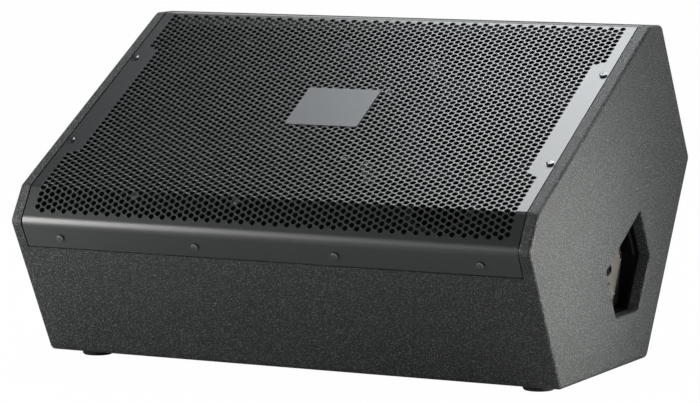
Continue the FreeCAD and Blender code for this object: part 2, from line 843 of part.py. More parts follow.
def grille_section():
    """Sheet bent over the front, the band, the face and the top."""
    outside, inside = size["grille_recess"], sheet_back
    begin = points[BAND] - lines[FRONT][1] * size["front_flange"]
    finish = points[TOP] + lines[TOP][1] * size["top_flange"]
    section = []
    for depth in (outside, inside):
        bends = [arc_at(lines[index - 1], lines[index], CORNER_RADII[index], depth)
                 for index in (BAND, FACE, TOP)]
        stops = [begin + inward(lines[FRONT][1]) * depth] + [arc[0] for arc in bends]
        starts = [arc[2] for arc in bends] + [finish + inward(lines[TOP][1]) * depth]
        runs = [Part.LineSegment(stops[0], stops[1])]
        for arc, start, stop in zip(bends, starts, stops[2:] + starts[-1:]):
            runs.append(Part.Arc(*arc[:3]))
            runs.append(Part.LineSegment(start, stop))
        section.append((runs, stops[0], starts[-1]))
    (outer, low, high), (inner, low_in, high_in) = section
    return outer + inner + [Part.LineSegment(low, low_in), Part.LineSegment(high, high_in)]


def window(label, across, along):
    """Block that cuts one window through the grille's sheet, centred on its place."""
    block = bind(doc.addObject("Part::Box", label), Length=across, Width=along,
                 Height="4 * grille_sheet")
    doc.recompute()
    block.Placement = Placement(Vector(block.Length, block.Width, block.Height) / -2, Rotation())
    return block


def behind_badge(x, height):
    return (abs(x) < size["badge_width"] / 2
            and abs(height - size["badge_position"]) < size["badge_height"] / 2)


def grille_windows():
    """Windows in columns over the face, whole behind the badge, and one row along the band."""
    columns = int(size["grille_columns"])
    across = [size["grid_across"] * (column + 0.5 - columns / 2) for column in range(columns)]
    along = [size["grid_along"] * (row + 0.5) for row in range(int(size["grille_rows"]))]
    on_face = [on_line(FACE, x, height) for x in across for height in along
               if not behind_badge(x, height)]
    on_band = [on_line(BAND, x, size["band_length"] - size["band_window_drop"]) for x in across]
    face_window = window("face_window", "grid_across - grille_rib", "grid_along - grille_rib")
    band_window = window("band_window", "grid_across - grille_rib", "band_window")
    return [copies("face_windows", face_window, on_face),
            copies("band_windows", band_window, on_band)]


def make_grille():
    sheet_body = cross_board("grille_blank", grille_section(),
                             "inner_width - 2 * grille_gap")
    holes = bores("grille_holes", FLANGE_SCREWS + SIDE_SCREWS,
                  "grille_screw_shank + 2 * screw_clearance", "grille_sheet + 1")
    cut("grille", sheet_body, holes, *grille_windows())

    badge = new_body("badge_plate")
    corner = Vector(size["badge_width"] / 2, size["badge_height"] / 2, 0)
    outline = round_bar((corner * -1, corner), size["badge_corner"])
    add_pad(badge, new_sketch(badge, "badge_outline", "XY_Plane", outline), "badge_thickness")
    badge.Placement = on_line(FACE, 0.0, size["badge_position"], size["grille_recess"])

    master = screw("grille_screw", "grille_screw_shank", "grille_screw_head", "grille_screw_cap",
                   "grille_screw_length")
    copies("grille_flange_screws", master, FLANGE_SCREWS)
    copies("grille_side_screws", master, SIDE_SCREWS)
    copies("foot_screws", master, FOOT_SCREWS)

    bumper = cylinder("bumper", "bumper_diameter",
                      "baffle_setback - grille_recess - grille_sheet - 2 * soft_clearance")
    copies("grille_bumpers", bumper,
           [on_baffle(size["bumper_position"], size[name], size["soft_clearance"])
            for name in ("bumper_low", "bumper_high")])


# ---------------------------------------------------------------- woofer

WOOFER = on_baffle(size["woofer_position"], size["woofer_height"])
WOOFER_BOLTS = ring_of(int(size["woofer_bolts"]), size["woofer_bolt_circle"] / 2,
                       WOOFER.multiply(Placement(Vector(0, 0, size["woofer_rim"]), Rotation())))
throat_radius = size["frame_throat"] / 2
cone_radius = throat_radius - size["surround_width"]
seat_radius = size["woofer_bolt_circle"] / 2 - size["bolt_head"] / 2 - 1.0
former_radius = size["coil_diameter"] / 2 + size["former_wall"]
rim_height = size["woofer_rim"]
neck_height = rim_height - size["cone_depth"]


def make_woofer_frame():
    wall = "woofer_wall"
    body = turned("woofer_frame_blank",
                  [("frame_throat / 2", "woofer_rim"), ("woofer_diameter / 2", "woofer_rim"),
                   ("woofer_diameter / 2", "0"), ("woofer_cutout / 2 - 3", "0"),
                   ("woofer_cutout / 2 - 6", "-22"), ("frame_base / 2", "6 - frame_depth"),
                   ("frame_base / 2", "-frame_depth"), ("frame_bore / 2", "-frame_depth"),
                   ("frame_bore / 2", "6 - frame_depth"), ("frame_shelf", "6 - frame_depth"),
                   ("frame_shelf", "14 - frame_depth"),
                   ("frame_base / 2 - %s + 3" % wall, "14 - frame_depth"),
                   ("frame_throat / 2 - 4", "-22")])
    windows = new_sketch(body, "woofer_frame_windows", "XY_Plane", frame_windows())
    add_pocket(body, windows, "frame_depth")
    body.Placement = WOOFER
    holes = bores("woofer_frame_bolt_holes", WOOFER_BOLTS, "bolt_diameter + 4 * screw_clearance",
                  "woofer_rim + 1")
    cut("woofer_frame", body, holes)


def frame_windows():
    """Wide openings between the frame's spokes."""
    inner = size["frame_base"] / 2 + 8.0
    outer = throat_radius - 14.0
    count = int(size["frame_windows"])
    sweep = math.tau / count * 0.36
    loops = []
    for index in range(count):
        middle = math.tau * index / count
        near = [Vector(inner * math.cos(a), inner * math.sin(a), 0)
                for a in (middle - sweep, middle, middle + sweep)]
        far = [Vector(outer * math.cos(a), outer * math.sin(a), 0)
               for a in (middle + sweep, middle, middle - sweep)]
        loops += [Part.Arc(*near), Part.LineSegment(near[2], far[0]),
                  Part.Arc(*far), Part.LineSegment(far[2], near[0])]
    return loops


def cone_arcs():
    """Front and back curves of the cone wall, from lip to neck."""
    neck = Vector(former_radius + size["screw_clearance"], neck_height, 0)
    lip = Vector(cone_radius - size["cone_lip"], rim_height, 0)
    bulge = inward(lip - neck).normalize() * -size["cone_bulge"]
    drop = Vector(0, -size["cone_skin"] * 1.3, 0)
    front = [lip, (lip + neck) * 0.5 + bulge, neck]
    back = [point + drop for point in front]
    return front, back


def make_cone():
    front, back = cone_arcs()
    lip_outer = Vector(cone_radius, rim_height, 0)
    lip_under = Vector(cone_radius, back[0].y, 0)
    section = [Part.LineSegment(lip_outer, front[0]), Part.Arc(*front),
               Part.LineSegment(front[2], back[2]), Part.Arc(*back[::-1]),
               Part.LineSegment(back[0], lip_under), Part.LineSegment(lip_under, lip_outer)]
    turned_from("woofer_cone", section).Placement = WOOFER


def cone_front_height(radius):
    """Height of the cone's front surface at a radius."""
    circle = Part.Circle(*cone_arcs()[0])
    centre, reach = circle.Center, circle.Radius
    rise = math.sqrt(reach * reach - (radius - centre.x) ** 2)
    return centre.y + rise if centre.y < neck_height else centre.y - rise


def dome_arc(radius, centre, end, way=1):
    """Apex, middle and end of a spherical arc that opens up (way 1) or down (way -1)."""
    def at(across):
        return Vector(across, centre + way * math.sqrt(radius ** 2 - across ** 2), 0)

    edge = math.sqrt(radius ** 2 - (end - centre) ** 2)
    return [at(0), at(edge / 2), at(edge)]


def make_dust_cap():
    edge, rise = size["cap_diameter"] / 2, size["cap_rise"]
    base = cone_front_height(edge) + size["screw_clearance"]
    radius = (edge ** 2 + rise ** 2) / (2 * rise)
    outer = dome_arc(radius, base + rise - radius, base)
    inner = dome_arc(radius - size["cap_skin"], base + rise - radius, base)
    loop = [Part.Arc(*outer), Part.LineSegment(outer[2], inner[2]), Part.Arc(*inner[::-1]),
            Part.LineSegment(inner[0], outer[0])]
    turned_from("dust_cap", loop).Placement = WOOFER


def make_surround():
    """Half-roll ring between the cone's lip and the frame's rim."""
    skin = size["surround_skin"]
    low, top = rim_height, rim_height + skin
    middle = (cone_radius + throat_radius) / 2
    crest = rim_height + size["surround_height"]
    under = [Vector(cone_radius + 0.5, low, 0), Vector(middle, crest, 0), Vector(throat_radius, low, 0)]
    over = [Vector(throat_radius + skin, top, 0), Vector(middle, crest + skin, 0),
            Vector(cone_radius + 0.5 - skin, top, 0)]
    inner, outer = cone_radius - size["cone_lip"], seat_radius
    loop = [Part.LineSegment(Vector(inner, low, 0), under[0]), Part.Arc(*under),
            Part.LineSegment(under[2], Vector(outer, low, 0)),
            Part.LineSegment(Vector(outer, low, 0), Vector(outer, top, 0)),
            Part.LineSegment(Vector(outer, top, 0), over[0]), Part.Arc(*over),
            Part.LineSegment(over[2], Vector(inner, top, 0)),
            Part.LineSegment(Vector(inner, top, 0), Vector(inner, low, 0))]
    turned_from("woofer_surround", loop).Placement = WOOFER

    seat = "woofer_bolt_circle / 2 - bolt_head / 2 - 1"
    base = "woofer_rim + surround_skin"
    gasket = turned("woofer_gasket", [(seat + " - gasket_width", base), (seat, base),
                                      (seat, base + " + gasket_thickness"),
                                      (seat + " - gasket_width", base + " + gasket_thickness")])
    gasket.Placement = WOOFER


def make_spider():
    """Corrugated centring ring from the coil former to the frame's shelf."""
    inner = former_radius + size["screw_clearance"]
    outer = size["spider_outer"]
    flat = 6.0
    base = 14.0 - size["frame_depth"]
    count = 8
    pitch = (outer - inner - 2 * flat) / count
    wave = [Vector(inner, base, 0), Vector(inner + flat, base, 0)]
    for index in range(1, count):
        height = size["spider_wave"] if index % 2 else 0.0
        wave.append(Vector(inner + flat + pitch * index, base + height, 0))
    wave += [Vector(outer - flat, base, 0), Vector(outer, base, 0)]
    lifted = [point + Vector(0, size["spider_skin"], 0) for point in wave]
    turned_from("spider", straight_loop(wave + lifted[::-1])).Placement = WOOFER


def make_motor():
    """Coil former, winding, top plate, magnet and back plate with its vented pole."""
    centre = "(-frame_depth - plate_thickness / 2)"
    low = centre + " - winding_length / 2"
    former = turned("voice_coil_former",
                    [("coil_diameter / 2", low + " - 1"), ("coil_diameter / 2 + former_wall", low + " - 1"),
                     ("coil_diameter / 2 + former_wall", "woofer_rim - cone_depth + former_overlap"),
                     ("coil_diameter / 2", "woofer_rim - cone_depth + former_overlap")])
    near = "coil_diameter / 2 + former_wall + 0.02"
    winding = turned("voice_coil_winding",
                     [(near, low), (near + " + winding_wall", low),
                      (near + " + winding_wall", centre + " + winding_length / 2"),
                      (near, centre + " + winding_length / 2")])
    gap = near + " + winding_wall + coil_clearance"
    plate = turned("woofer_top_plate",
                   [(gap, "-frame_depth"), ("plate_diameter / 2", "-frame_depth"),
                    ("plate_diameter / 2", "-frame_depth - plate_thickness"),
                    (gap, "-frame_depth - plate_thickness")])
    below = "-frame_depth - plate_thickness"
    magnet = turned("woofer_magnet",
                    [("magnet_bore / 2", below), ("magnet_diameter / 2", below),
                     ("magnet_diameter / 2", below + " - magnet_thickness"),
                     ("magnet_bore / 2", below + " - magnet_thickness")])
    rear = below + " - magnet_thickness"
    pole = "coil_diameter / 2 - coil_clearance"
    back = turned("woofer_back_plate",
                  [("vent_diameter / 2", "-frame_depth"), (pole, "-frame_depth"), (pole, rear),
                   ("plate_diameter / 2", rear), ("plate_diameter / 2", rear + " - back_plate_thickness"),
                   ("vent_diameter / 2", rear + " - back_plate_thickness")])
    for body in (former, winding, plate, magnet, back):
        body.Placement = WOOFER


def make_woofer_hardware():
    terminal = doc.addObject("Part::Box", "woofer_terminals")
    bind(terminal, Length="terminal_depth", Width="terminal_width", Height="terminal_height")
    corner = Vector(size["magnet_diameter"] / 2 + 2.0, -size["terminal_width"] / 2,
                    -size["frame_depth"] - size["terminal_height"])
    terminal.Placement = WOOFER.multiply(Placement(corner, Rotation()))

    bolt = screw("woofer_bolt", "bolt_diameter", "bolt_head", "bolt_cap", "bolt_length")
    copies("woofer_bolts", bolt, WOOFER_BOLTS)
    bore = "bolt_diameter / 2 + screw_clearance"
    nut = turned("tee_nut", [(bore, "tee_nut_reach"), ("tee_nut_barrel / 2", "tee_nut_reach"),
                             ("tee_nut_barrel / 2", "0"), ("tee_nut_flange / 2", "0"),
                             ("tee_nut_flange / 2", "-tee_nut_sheet"), (bore, "-tee_nut_sheet")])
    drop = Placement(Vector(0, 0, -size["woofer_rim"] - size["baffle_thickness"]), Rotation())
    copies("tee_nuts", nut, [place.multiply(drop) for place in WOOFER_BOLTS])


# ---------------------------------------------------------------- horn and compression driver

HORN = on_baffle(size["horn_position"], size["woofer_height"])
HORN_SCREWS = [HORN.multiply(Placement(Vector(sx * size["horn_screw_pitch"] / 2,
                                              sy * size["horn_screw_pitch"] / 2,
                                              size["horn_flange_thickness"]), Rotation()))
               for sx in (-1, 1) for sy in (-1, 1)]
adapter_low = -size["horn_depth"] - size["horn_adapter_thickness"]
DRIVER_BOLTS = [HORN.multiply(Placement(Vector(sx * size["driver_bolt_pitch"] / 2, 0,
                                               -size["horn_depth"]), Rotation())) for sx in (-1, 1)]


def flare_arc(wall):
    """Mouth, middle and throat of the flare's inner curve, or of its outside at a wall's distance."""
    top = size["horn_flange_thickness"]
    mouth = Vector(size["horn_mouth"] / 2, top, 0)
    waist = Vector(size["horn_waist"] / 2, -size["horn_depth"] / 2, 0)
    throat = Vector(size["throat_diameter"] / 2, -size["horn_depth"], 0)
    circle = Part.Circle(mouth, waist, throat)
    centre, radius = circle.Center, circle.Radius - wall
    heights = (top, waist.y, throat.y)
    return [Vector(centre.x - math.sqrt(radius ** 2 - (height - centre.y) ** 2), height, 0)
            for height in heights]


def make_horn():
    body = new_body("horn_flare_blank")
    half = Vector(size["horn_flange"] / 2, size["horn_flange"] / 2, 0)
    plate = round_bar((half * -1, half), size["horn_flange_corner"])
    add_pad(body, new_sketch(body, "horn_flange_outline", "XY_Plane", plate), "horn_flange_thickness")

    top, rear = size["horn_flange_thickness"], adapter_low
    ring = size["horn_adapter"] / 2
    outer, inner = flare_arc(size["horn_wall"]), flare_arc(0.0)
    run = [outer[2], Vector(ring, outer[2].y, 0), Vector(ring, rear, 0), Vector(0, rear, 0),
           Vector(0, top, 0), outer[0]]
    turn(body, new_sketch(body, "horn_outside", "XZ_Plane",
                          [Part.Arc(*outer)] + [Part.LineSegment(*pair) for pair in zip(run, run[1:])]))
    doc.recompute()
    before = body.Shape.Volume
    run = [inner[2], Vector(inner[2].x, rear, 0), Vector(0, rear, 0), Vector(0, top, 0), inner[0]]
    turn(body, new_sketch(body, "horn_inside", "XZ_Plane",
                          [Part.Arc(*inner)] + [Part.LineSegment(*pair) for pair in zip(run, run[1:])]),
         "PartDesign::Groove")
    doc.recompute()
    if body.Shape.Volume > before - 1.0:
        raise RuntimeError("the horn's flare is not hollow")
    body.Placement = HORN
    screws = bores("horn_screw_holes", HORN_SCREWS, "small_screw_shank + 2 * screw_clearance",
                   "horn_flange_thickness + 1")
    bolts = bores("horn_bolt_holes", DRIVER_BOLTS, "bolt_diameter + 2 * screw_clearance",
                  "horn_adapter_thickness + 1")
    cut("horn_flare", body, screws, bolts)

    master = screw("horn_screw", "small_screw_shank", "small_screw_head", "small_screw_cap",
                   "horn_screw_length")
    copies("horn_screws", master, HORN_SCREWS)


def make_driver():
    top = "-horn_depth - horn_adapter_thickness"
    low = top + " - driver_length"
    motor = turned("hf_driver_blank", [("throat_diameter / 2", top), ("driver_diameter / 2 - 2", top),
                                       ("driver_diameter / 2", top + " - 2"), ("driver_diameter / 2", low),
                                       ("throat_diameter / 2", low)])
    motor.Placement = HORN
    threads = bores("driver_threads", DRIVER_BOLTS, "bolt_diameter + 2 * screw_clearance",
                    "driver_bolt_length + screw_clearance")
    cut("hf_driver_body", motor, threads)
    bolt = screw("driver_bolt", "bolt_diameter", "bolt_head", "bolt_cap", "driver_bolt_length")
    copies("hf_driver_bolts", bolt, DRIVER_BOLTS)

    edge, wall, end = "rear_cap_diameter / 2", "rear_cap_wall", low + " - rear_cap_length"
    cap = turned("hf_rear_cap", [("%s - %s" % (edge, wall), low), (edge, low), (edge, end + " + 3"),
                                 (edge + " - 3", end), ("0", end), ("0", end + " + " + wall),
                                 ("%s - %s" % (edge, wall), end + " + " + wall)])
    cap.Placement = HORN

    base = adapter_low - size["driver_length"]
    rim, skin = size["diaphragm_diameter"] / 2, size["diaphragm_skin"]
    edge, rise = rim - size["diaphragm_rim"], size["diaphragm_rise"]
    radius = (edge ** 2 + rise ** 2) / (2 * rise)
    outer = dome_arc(radius, base - rise + radius, base - skin, -1)
    inner = dome_arc(radius - skin, base - rise + radius, base, -1)
    corners = [inner[2], Vector(rim, base, 0), Vector(rim, base - skin, 0), outer[2]]
    loop = [Part.LineSegment(*pair) for pair in zip(corners, corners[1:])]
    loop += [Part.Arc(*outer[::-1]), Part.LineSegment(outer[0], inner[0]), Part.Arc(*inner)]
    turned_from("hf_diaphragm", loop).Placement = HORN


def make_ports():
    bore = "port_bore / 2"
    tube = bore + " + port_wall"
    for name in ("upper", "lower"):
        port = turned("port_tube_" + name,
                      [(bore, "port_lip_thickness"), ("port_outer / 2 - 2", "port_lip_thickness"),
                       ("port_outer / 2", "port_lip_thickness - 2"), ("port_outer / 2", "0"),
                       (tube, "0"), (tube, "-port_length"), (bore, "-port_length")])
        port.Placement = on_baffle(size["horn_position"], size[name + "_port_height"])


# ---------------------------------------------------------------- hand recesses and connectors

def cavity_lines(inset):
    """Outline of the recess behind the wood: its rear wall is steeper than the opening's."""
    depth = size["cup_ledge"] + inset
    rear = opening_corners(size["cup_ledge"])[0], heading(180.0 + size["cup_rear_angle"])
    return [inset_line(rear, inset)] + opening_lines(depth)[1:]


def raised(outline):
    """The same outline with its bottom line moved up."""
    return [outline[0], inset_line(outline[1], size["plate_screw_rise"])] + outline[2:]


def cup_screw_places(side):
    corners = corners_of(cavity_lines(-size["cup_flange"] / 2))
    x = side * (inner_half - size["cup_sheet"])
    return [facing(side, x, corner, outwards=False) for corner in corners]


def plate_x(side):
    """Outer surface of the connector plate."""
    return side * (inner_half - size["cup_depth"] + size["plate_sheet"])


def plate_screw_places(side):
    outline = cavity_lines(size["plate_screw_inset"])
    leaning = corners_of(outline)[0], heading(180.0 + size["plate_screw_lean"])
    corners = corners_of([leaning] + raised(outline)[1:])
    return [facing(side, plate_x(side), corner) for corner in corners]


opening_middle = sum(corner.x for corner in opening_corners(0.0)) / len(OPENING)


def plate_point(shift, rise):
    """Point of the connector plate, from the opening's middle and its bottom edge."""
    return Vector(opening_middle + shift, size["opening_from_base"] + rise, 0)


SOCKET_CENTRE = plate_point(size["socket_shift"], size["socket_rise"])
JACK_CENTRE = plate_point(size["jack_shift"], size["socket_rise"])
SWITCH_CENTRE = plate_point(size["switch_shift"], size["switch_rise"])
switch_slot = size["switch_knob"] + size["switch_travel"] + 2 * size["switch_clearance"]


def socket_screw_places(side, lift):
    place = facing(side, plate_x(side) + side * lift, SOCKET_CENTRE)
    corner = Vector(size["socket_screw_up"], size["socket_screw_across"], 0)
    return [place.multiply(Placement(corner * way, Rotation())) for way in (-1, 1)]


def make_cup(side, name):
    body = new_body("handle_cup_%s_blank" % name)
    right = side > 0
    corner = size["opening_corner"]
    flange = rounded_loop(cavity_lines(-size["cup_flange"]), corner + size["cup_flange"] / 2)
    add_pad(body, new_sketch(body, "cup_flange_" + name, "YZ_Plane", flange), "cup_sheet",
            backwards=right)
    tub = rounded_loop(cavity_lines(-size["cup_sheet"]), corner + size["cup_sheet"])
    add_pad(body, new_sketch(body, "cup_tub_" + name, "YZ_Plane", tub), "cup_depth + cup_sheet",
            backwards=right)
    mouth = opening_loop(size["cup_ledge"], corner)
    add_pocket(body, new_sketch(body, "cup_mouth_" + name, "YZ_Plane", mouth), "cup_sheet",
               backwards=not right)
    cavity = new_sketch(body, "cup_cavity_" + name, "YZ_Plane", rounded_loop(cavity_lines(0.0), corner),
                        lift=-side * size["cup_sheet"])
    add_pocket(body, cavity, "cup_depth - cup_sheet", backwards=not right)
    margin = size["plate_screw_inset"] + size["window_margin"]
    window = rounded_loop(raised(cavity_lines(margin)), corner)
    add_pocket(body, new_sketch(body, "cup_window_" + name, "YZ_Plane", window),
               "cup_depth + cup_sheet", backwards=not right)
    lip = new_sketch(body, "cup_lip_" + name, "YZ_Plane", lip_outline(),
                     lift=-side * size["lip_depth"])
    add_pad(body, lip, "lip_sheet", backwards=right)
    body.Placement = Placement(HOME + Vector(side * inner_half, 0, 0), Rotation())
    holes = bores("cup_holes_" + name, cup_screw_places(side) + plate_screw_places(side),
                  "small_screw_shank + 2 * screw_clearance", "cup_sheet + plate_sheet + 1")
    cut("handle_cup_" + name, body, holes)


def lip_outline():
    """Strip along the recess's upper rear wall, for the fingertips."""
    outline = cavity_lines(0.0)
    face, wall = outline[3], outline[4]
    root = inset_line(wall, -size["cup_sheet"] / 2)
    edge = inset_line(wall, size["lip_width"])
    level = corners_of(outline)[0], Vector(-1, 0, 0)
    return straight_loop([meet(root, level), meet(edge, level), meet(edge, face), meet(root, face)])


def make_connector_plate(side, name):
    body = new_body("connector_plate_%s_blank" % name)
    outline = rounded_loop(cavity_lines(size["plate_margin"]), size["opening_corner"])
    sketch = new_sketch(body, "plate_outline_" + name, "YZ_Plane", outline)
    add_circle(sketch, SOCKET_CENTRE, "socket_body + 2 * socket_clearance")
    add_circle(sketch, JACK_CENTRE, "jack_barrel + 2 * socket_clearance")
    if side > 0:
        half = Vector(switch_slot / 2, size["switch_knob"] / 2 + size["switch_clearance"], 0)
        low, high = SWITCH_CENTRE - half, SWITCH_CENTRE + half
        sketch.addGeometry(straight_loop([low, Vector(low.x, high.y, 0), high,
                                          Vector(high.x, low.y, 0)]), False)
    add_pad(body, sketch, "plate_sheet", backwards=side < 0)
    floor = side * (inner_half - size["cup_depth"])
    body.Placement = Placement(HOME + Vector(floor, 0, 0), Rotation())
    holes = bores("plate_holes_" + name, plate_screw_places(side) + socket_screw_places(side, 0.0),
                  "small_screw_shank + 2 * screw_clearance", "plate_sheet + 1")
    cut("connector_plate_" + name, body, holes)


def make_speaker_sockets():
    """Twist-lock speaker socket, one on each plate."""
    body = new_body("speaker_socket")
    corner = Vector(size["socket_height"] / 2, size["socket_width"] / 2, 0)
    flange = new_sketch(body, "socket_flange", "XY_Plane", round_bar((corner * -1, corner), 2.0))
    screw_at = Vector(size["socket_screw_up"], size["socket_screw_across"], 0)
    for way in (-1, 1):
        add_circle(flange, screw_at * way, "small_screw_shank + 2 * screw_clearance")
    add_pad(body, flange, "socket_flange")
    barrel = new_sketch(body, "socket_barrel", "XY_Plane")
    add_circle(barrel, Vector(0, 0, 0), "socket_body")
    add_pad(body, barrel, "socket_depth + socket_floor - socket_flange", backwards=True)
    cavity = new_sketch(body, "socket_cavity", "XY_Plane", lift=size["socket_flange"])
    add_circle(cavity, Vector(0, 0, 0), "socket_bore")
    add_pocket(body, cavity, "socket_depth")
    for side, name in ((-1, "left"), (1, "right")):
        copies("speaker_socket_" + name, body, [facing(side, plate_x(side), SOCKET_CENTRE)])


def make_jacks():
    """Plug sockets with a threaded barrel and a nut, one on each plate."""
    body = new_body("jack")
    half = Vector(size["jack_height"] / 2, size["jack_width"] / 2, 0)
    case = new_sketch(body, "jack_case", "XY_Plane", round_bar((half * -1, half), 1.0),
                      lift=-size["plate_sheet"])
    add_pad(body, case, "jack_depth + jack_floor - jack_reach - plate_sheet", backwards=True)
    barrel = new_sketch(body, "jack_barrel", "XY_Plane", lift=size["jack_reach"])
    add_circle(barrel, Vector(0, 0, 0), "jack_barrel")
    add_pad(body, barrel, "jack_reach + plate_sheet", backwards=True)
    hole = new_sketch(body, "jack_hole", "XY_Plane", lift=size["jack_reach"])
    add_circle(hole, Vector(0, 0, 0), "jack_bore")
    add_pocket(body, hole, "jack_depth")
    nut = new_body("jack_nut")
    ring = [heading(60.0 * number) * (size["nut_width"] / math.sqrt(3)) for number in range(6)]
    outline = new_sketch(nut, "nut_outline", "XY_Plane", straight_loop(ring))
    add_circle(outline, Vector(0, 0, 0), "jack_barrel + 2 * screw_clearance")
    add_pad(nut, outline, "nut_thickness")
    places = [facing(side, plate_x(side), JACK_CENTRE) for side in (-1, 1)]
    copies("jack_sockets", body, places)
    copies("jack_nuts", nut, places)


def make_switch():
    """Slide switch behind the right-hand plate: housing and sliding knob."""
    place = facing(1, plate_x(1), SWITCH_CENTRE)
    housing = new_body("mode_switch_body")
    half = Vector(size["switch_housing_width"] / 2, size["switch_housing_length"] / 2, 0)
    block = new_sketch(housing, "switch_block", "XY_Plane", round_bar((half * -1, half), 1.0),
                       lift=-size["plate_sheet"])
    add_pad(housing, block, "switch_housing_depth", backwards=True)
    reach = (size["switch_shoe_length"] + size["switch_travel"]) / 2 + size["switch_clearance"]
    room = Vector(size["switch_shoe_width"] / 2 + size["switch_clearance"], reach, 0)
    track = new_sketch(housing, "switch_track", "XY_Plane",
                       straight_loop([room * -1, Vector(-room.x, room.y, 0), room,
                                      Vector(room.x, -room.y, 0)]), lift=-size["plate_sheet"])
    add_pocket(housing, track, "switch_shoe + 2 * switch_clearance")
    housing.Placement = place

    slider = new_body("mode_switch_slider")
    rest = -size["switch_travel"] / 2
    top = -size["plate_sheet"] - size["switch_clearance"]
    shoe = Vector(size["switch_shoe_width"] / 2, size["switch_shoe_length"] / 2, 0)
    middle = Vector(0, rest, 0)
    add_pad(slider, new_sketch(slider, "switch_shoe", "XY_Plane",
                               round_bar((middle - shoe, middle + shoe), 0.5), lift=top),
            "switch_shoe", backwards=True)
    knob = Vector(size["switch_knob"] / 2, size["switch_knob"] / 2, 0)
    add_pad(slider, new_sketch(slider, "switch_knob", "XY_Plane",
                               round_bar((middle - knob, middle + knob), 0.5), lift=top),
            "plate_sheet + switch_clearance + switch_knob_height")
    slider.Placement = place


def make_recesses():
    for side, name in ((-1, "left"), (1, "right")):
        make_cup(side, name)
        make_connector_plate(side, name)
    cup_screw = screw("cup_screw", "small_screw_shank", "small_screw_head", "small_screw_cap",
                      "cup_sheet + cup_screw_bite")
    copies("handle_cup_screws", cup_screw, cup_screw_places(-1) + cup_screw_places(1))
    plate_screw = screw("plate_screw", "small_screw_shank", "plate_screw_head", "small_screw_cap",
                        "small_screw_length")
    places = []
    for side in (-1, 1):
        places += plate_screw_places(side) + socket_screw_places(side, size["socket_flange"])
    copies("connector_plate_screws", plate_screw, places)
    make_speaker_sockets()
    make_jacks()
    make_switch()


# ---------------------------------------------------------------- crossover

def make_crossover():
    pillar = turned("standoff", [("small_screw_shank / 2 + screw_clearance", "0"),
                                 ("standoff_diameter / 2", "0"),
                                 ("standoff_diameter / 2", "standoff_height"),
                                 ("small_screw_shank / 2 + screw_clearance", "standoff_height")])
    copies("crossover_standoffs", pillar, BOARD_CORNERS)
    sheet_box = doc.addObject("Part::Box", "crossover_sheet")
    bind(sheet_box, Length="board_length", Width="board_width", Height="board_sheet")
    level = Vector(0, 0, size["standoff_height"])
    corner = Vector(size["board_length"] / 2, size["board_width"] / 2, 0)
    sheet_box.Placement = Placement(BOARD_CENTRE + level - corner, Rotation())
    top = BOARD_CENTRE + level + Vector(0, 0, size["board_sheet"])
    lift = Placement(level + Vector(0, 0, size["board_sheet"]), Rotation())
    screw_places = [lift.multiply(place) for place in BOARD_CORNERS]
    holes = bores("board_holes", screw_places, "small_screw_shank + 2 * screw_clearance",
                  "board_sheet + 1")
    cut("crossover_board", sheet_box, holes)
    long_screw = screw("board_screw", "small_screw_shank", "small_screw_head", "small_screw_cap",
                       "board_sheet + standoff_height + board_screw_bite")
    copies("crossover_screws", long_screw, screw_places)

    def at(x_share, y_share):
        return top + Vector(x_share * size["board_length"], y_share * size["board_width"], 0)

    coil = turned("inductor", [("inductor_bore / 2", "0"), ("inductor_diameter / 2", "0"),
                               ("inductor_diameter / 2", "inductor_height"),
                               ("inductor_bore / 2", "inductor_height")])
    copies("crossover_inductors", coil, [Placement(at(-0.33, 0.0), Rotation()),
                                         Placement(at(0.02, 0.24), Rotation())])
    can = cylinder("capacitor", "capacitor_diameter", "capacitor_length")
    lying = Rotation(Vector(1, 0, 0), -90)
    raise_can = Vector(0, -size["capacitor_length"] / 2, size["capacitor_diameter"] / 2 + 0.1)
    copies("crossover_capacitors", can, [Placement(at(x, y) + raise_can, lying)
                                         for x, y in ((0.28, 0.2), (0.42, 0.2), (0.36, -0.2))])
    block = doc.addObject("Part::Box", "resistor")
    bind(block, Length="resistor_length", Width="resistor_side", Height="resistor_side")
    copies("crossover_resistors", block, [Placement(at(-0.1, y), Rotation()) for y in (-0.2, -0.35)])


# ---------------------------------------------------------------- feet

def make_feet():
    hole = "grille_screw_shank / 2 + screw_clearance"
    edge = "foot_diameter / 2"
    foot = turned("foot", [(hole, "foot_recess_depth"), ("foot_recess / 2", "foot_recess_depth"),
                           ("foot_recess / 2", "0"), (edge + " - foot_bevel", "0"),
                           (edge, "foot_bevel"), (edge, "foot_height"), (hole, "foot_height")])
    copies("feet", foot, FEET)


# ---------------------------------------------------------------- build, check and write

NODES = ["side_panel_left", "side_panel_right", "front_panel", "bottom_panel", "top_panel",
         "back_upper_panel", "back_lower_panel", "baffle", "divider_brace", "lining_foam",
         "grille_cleats_left", "grille_cleats_right", "grille", "grille_bumpers", "badge_plate",
         "grille_flange_screws", "grille_side_screws",
         "woofer_frame", "woofer_gasket", "woofer_surround", "woofer_cone", "dust_cap", "spider",
         "voice_coil_former", "voice_coil_winding", "woofer_top_plate", "woofer_magnet",
         "woofer_back_plate", "woofer_terminals", "woofer_bolts", "tee_nuts",
         "horn_flare", "horn_screws", "hf_driver_body", "hf_diaphragm", "hf_rear_cap",
         "hf_driver_bolts", "port_tube_upper", "port_tube_lower",
         "handle_cup_left", "handle_cup_right", "handle_cup_screws",
         "connector_plate_left", "connector_plate_right", "connector_plate_screws",
         "speaker_socket_left", "speaker_socket_right", "jack_sockets", "jack_nuts",
         "mode_switch_body", "mode_switch_slider",
         "crossover_board", "crossover_standoffs", "crossover_screws", "crossover_inductors",
         "crossover_capacitors", "crossover_resistors", "feet", "foot_screws"]


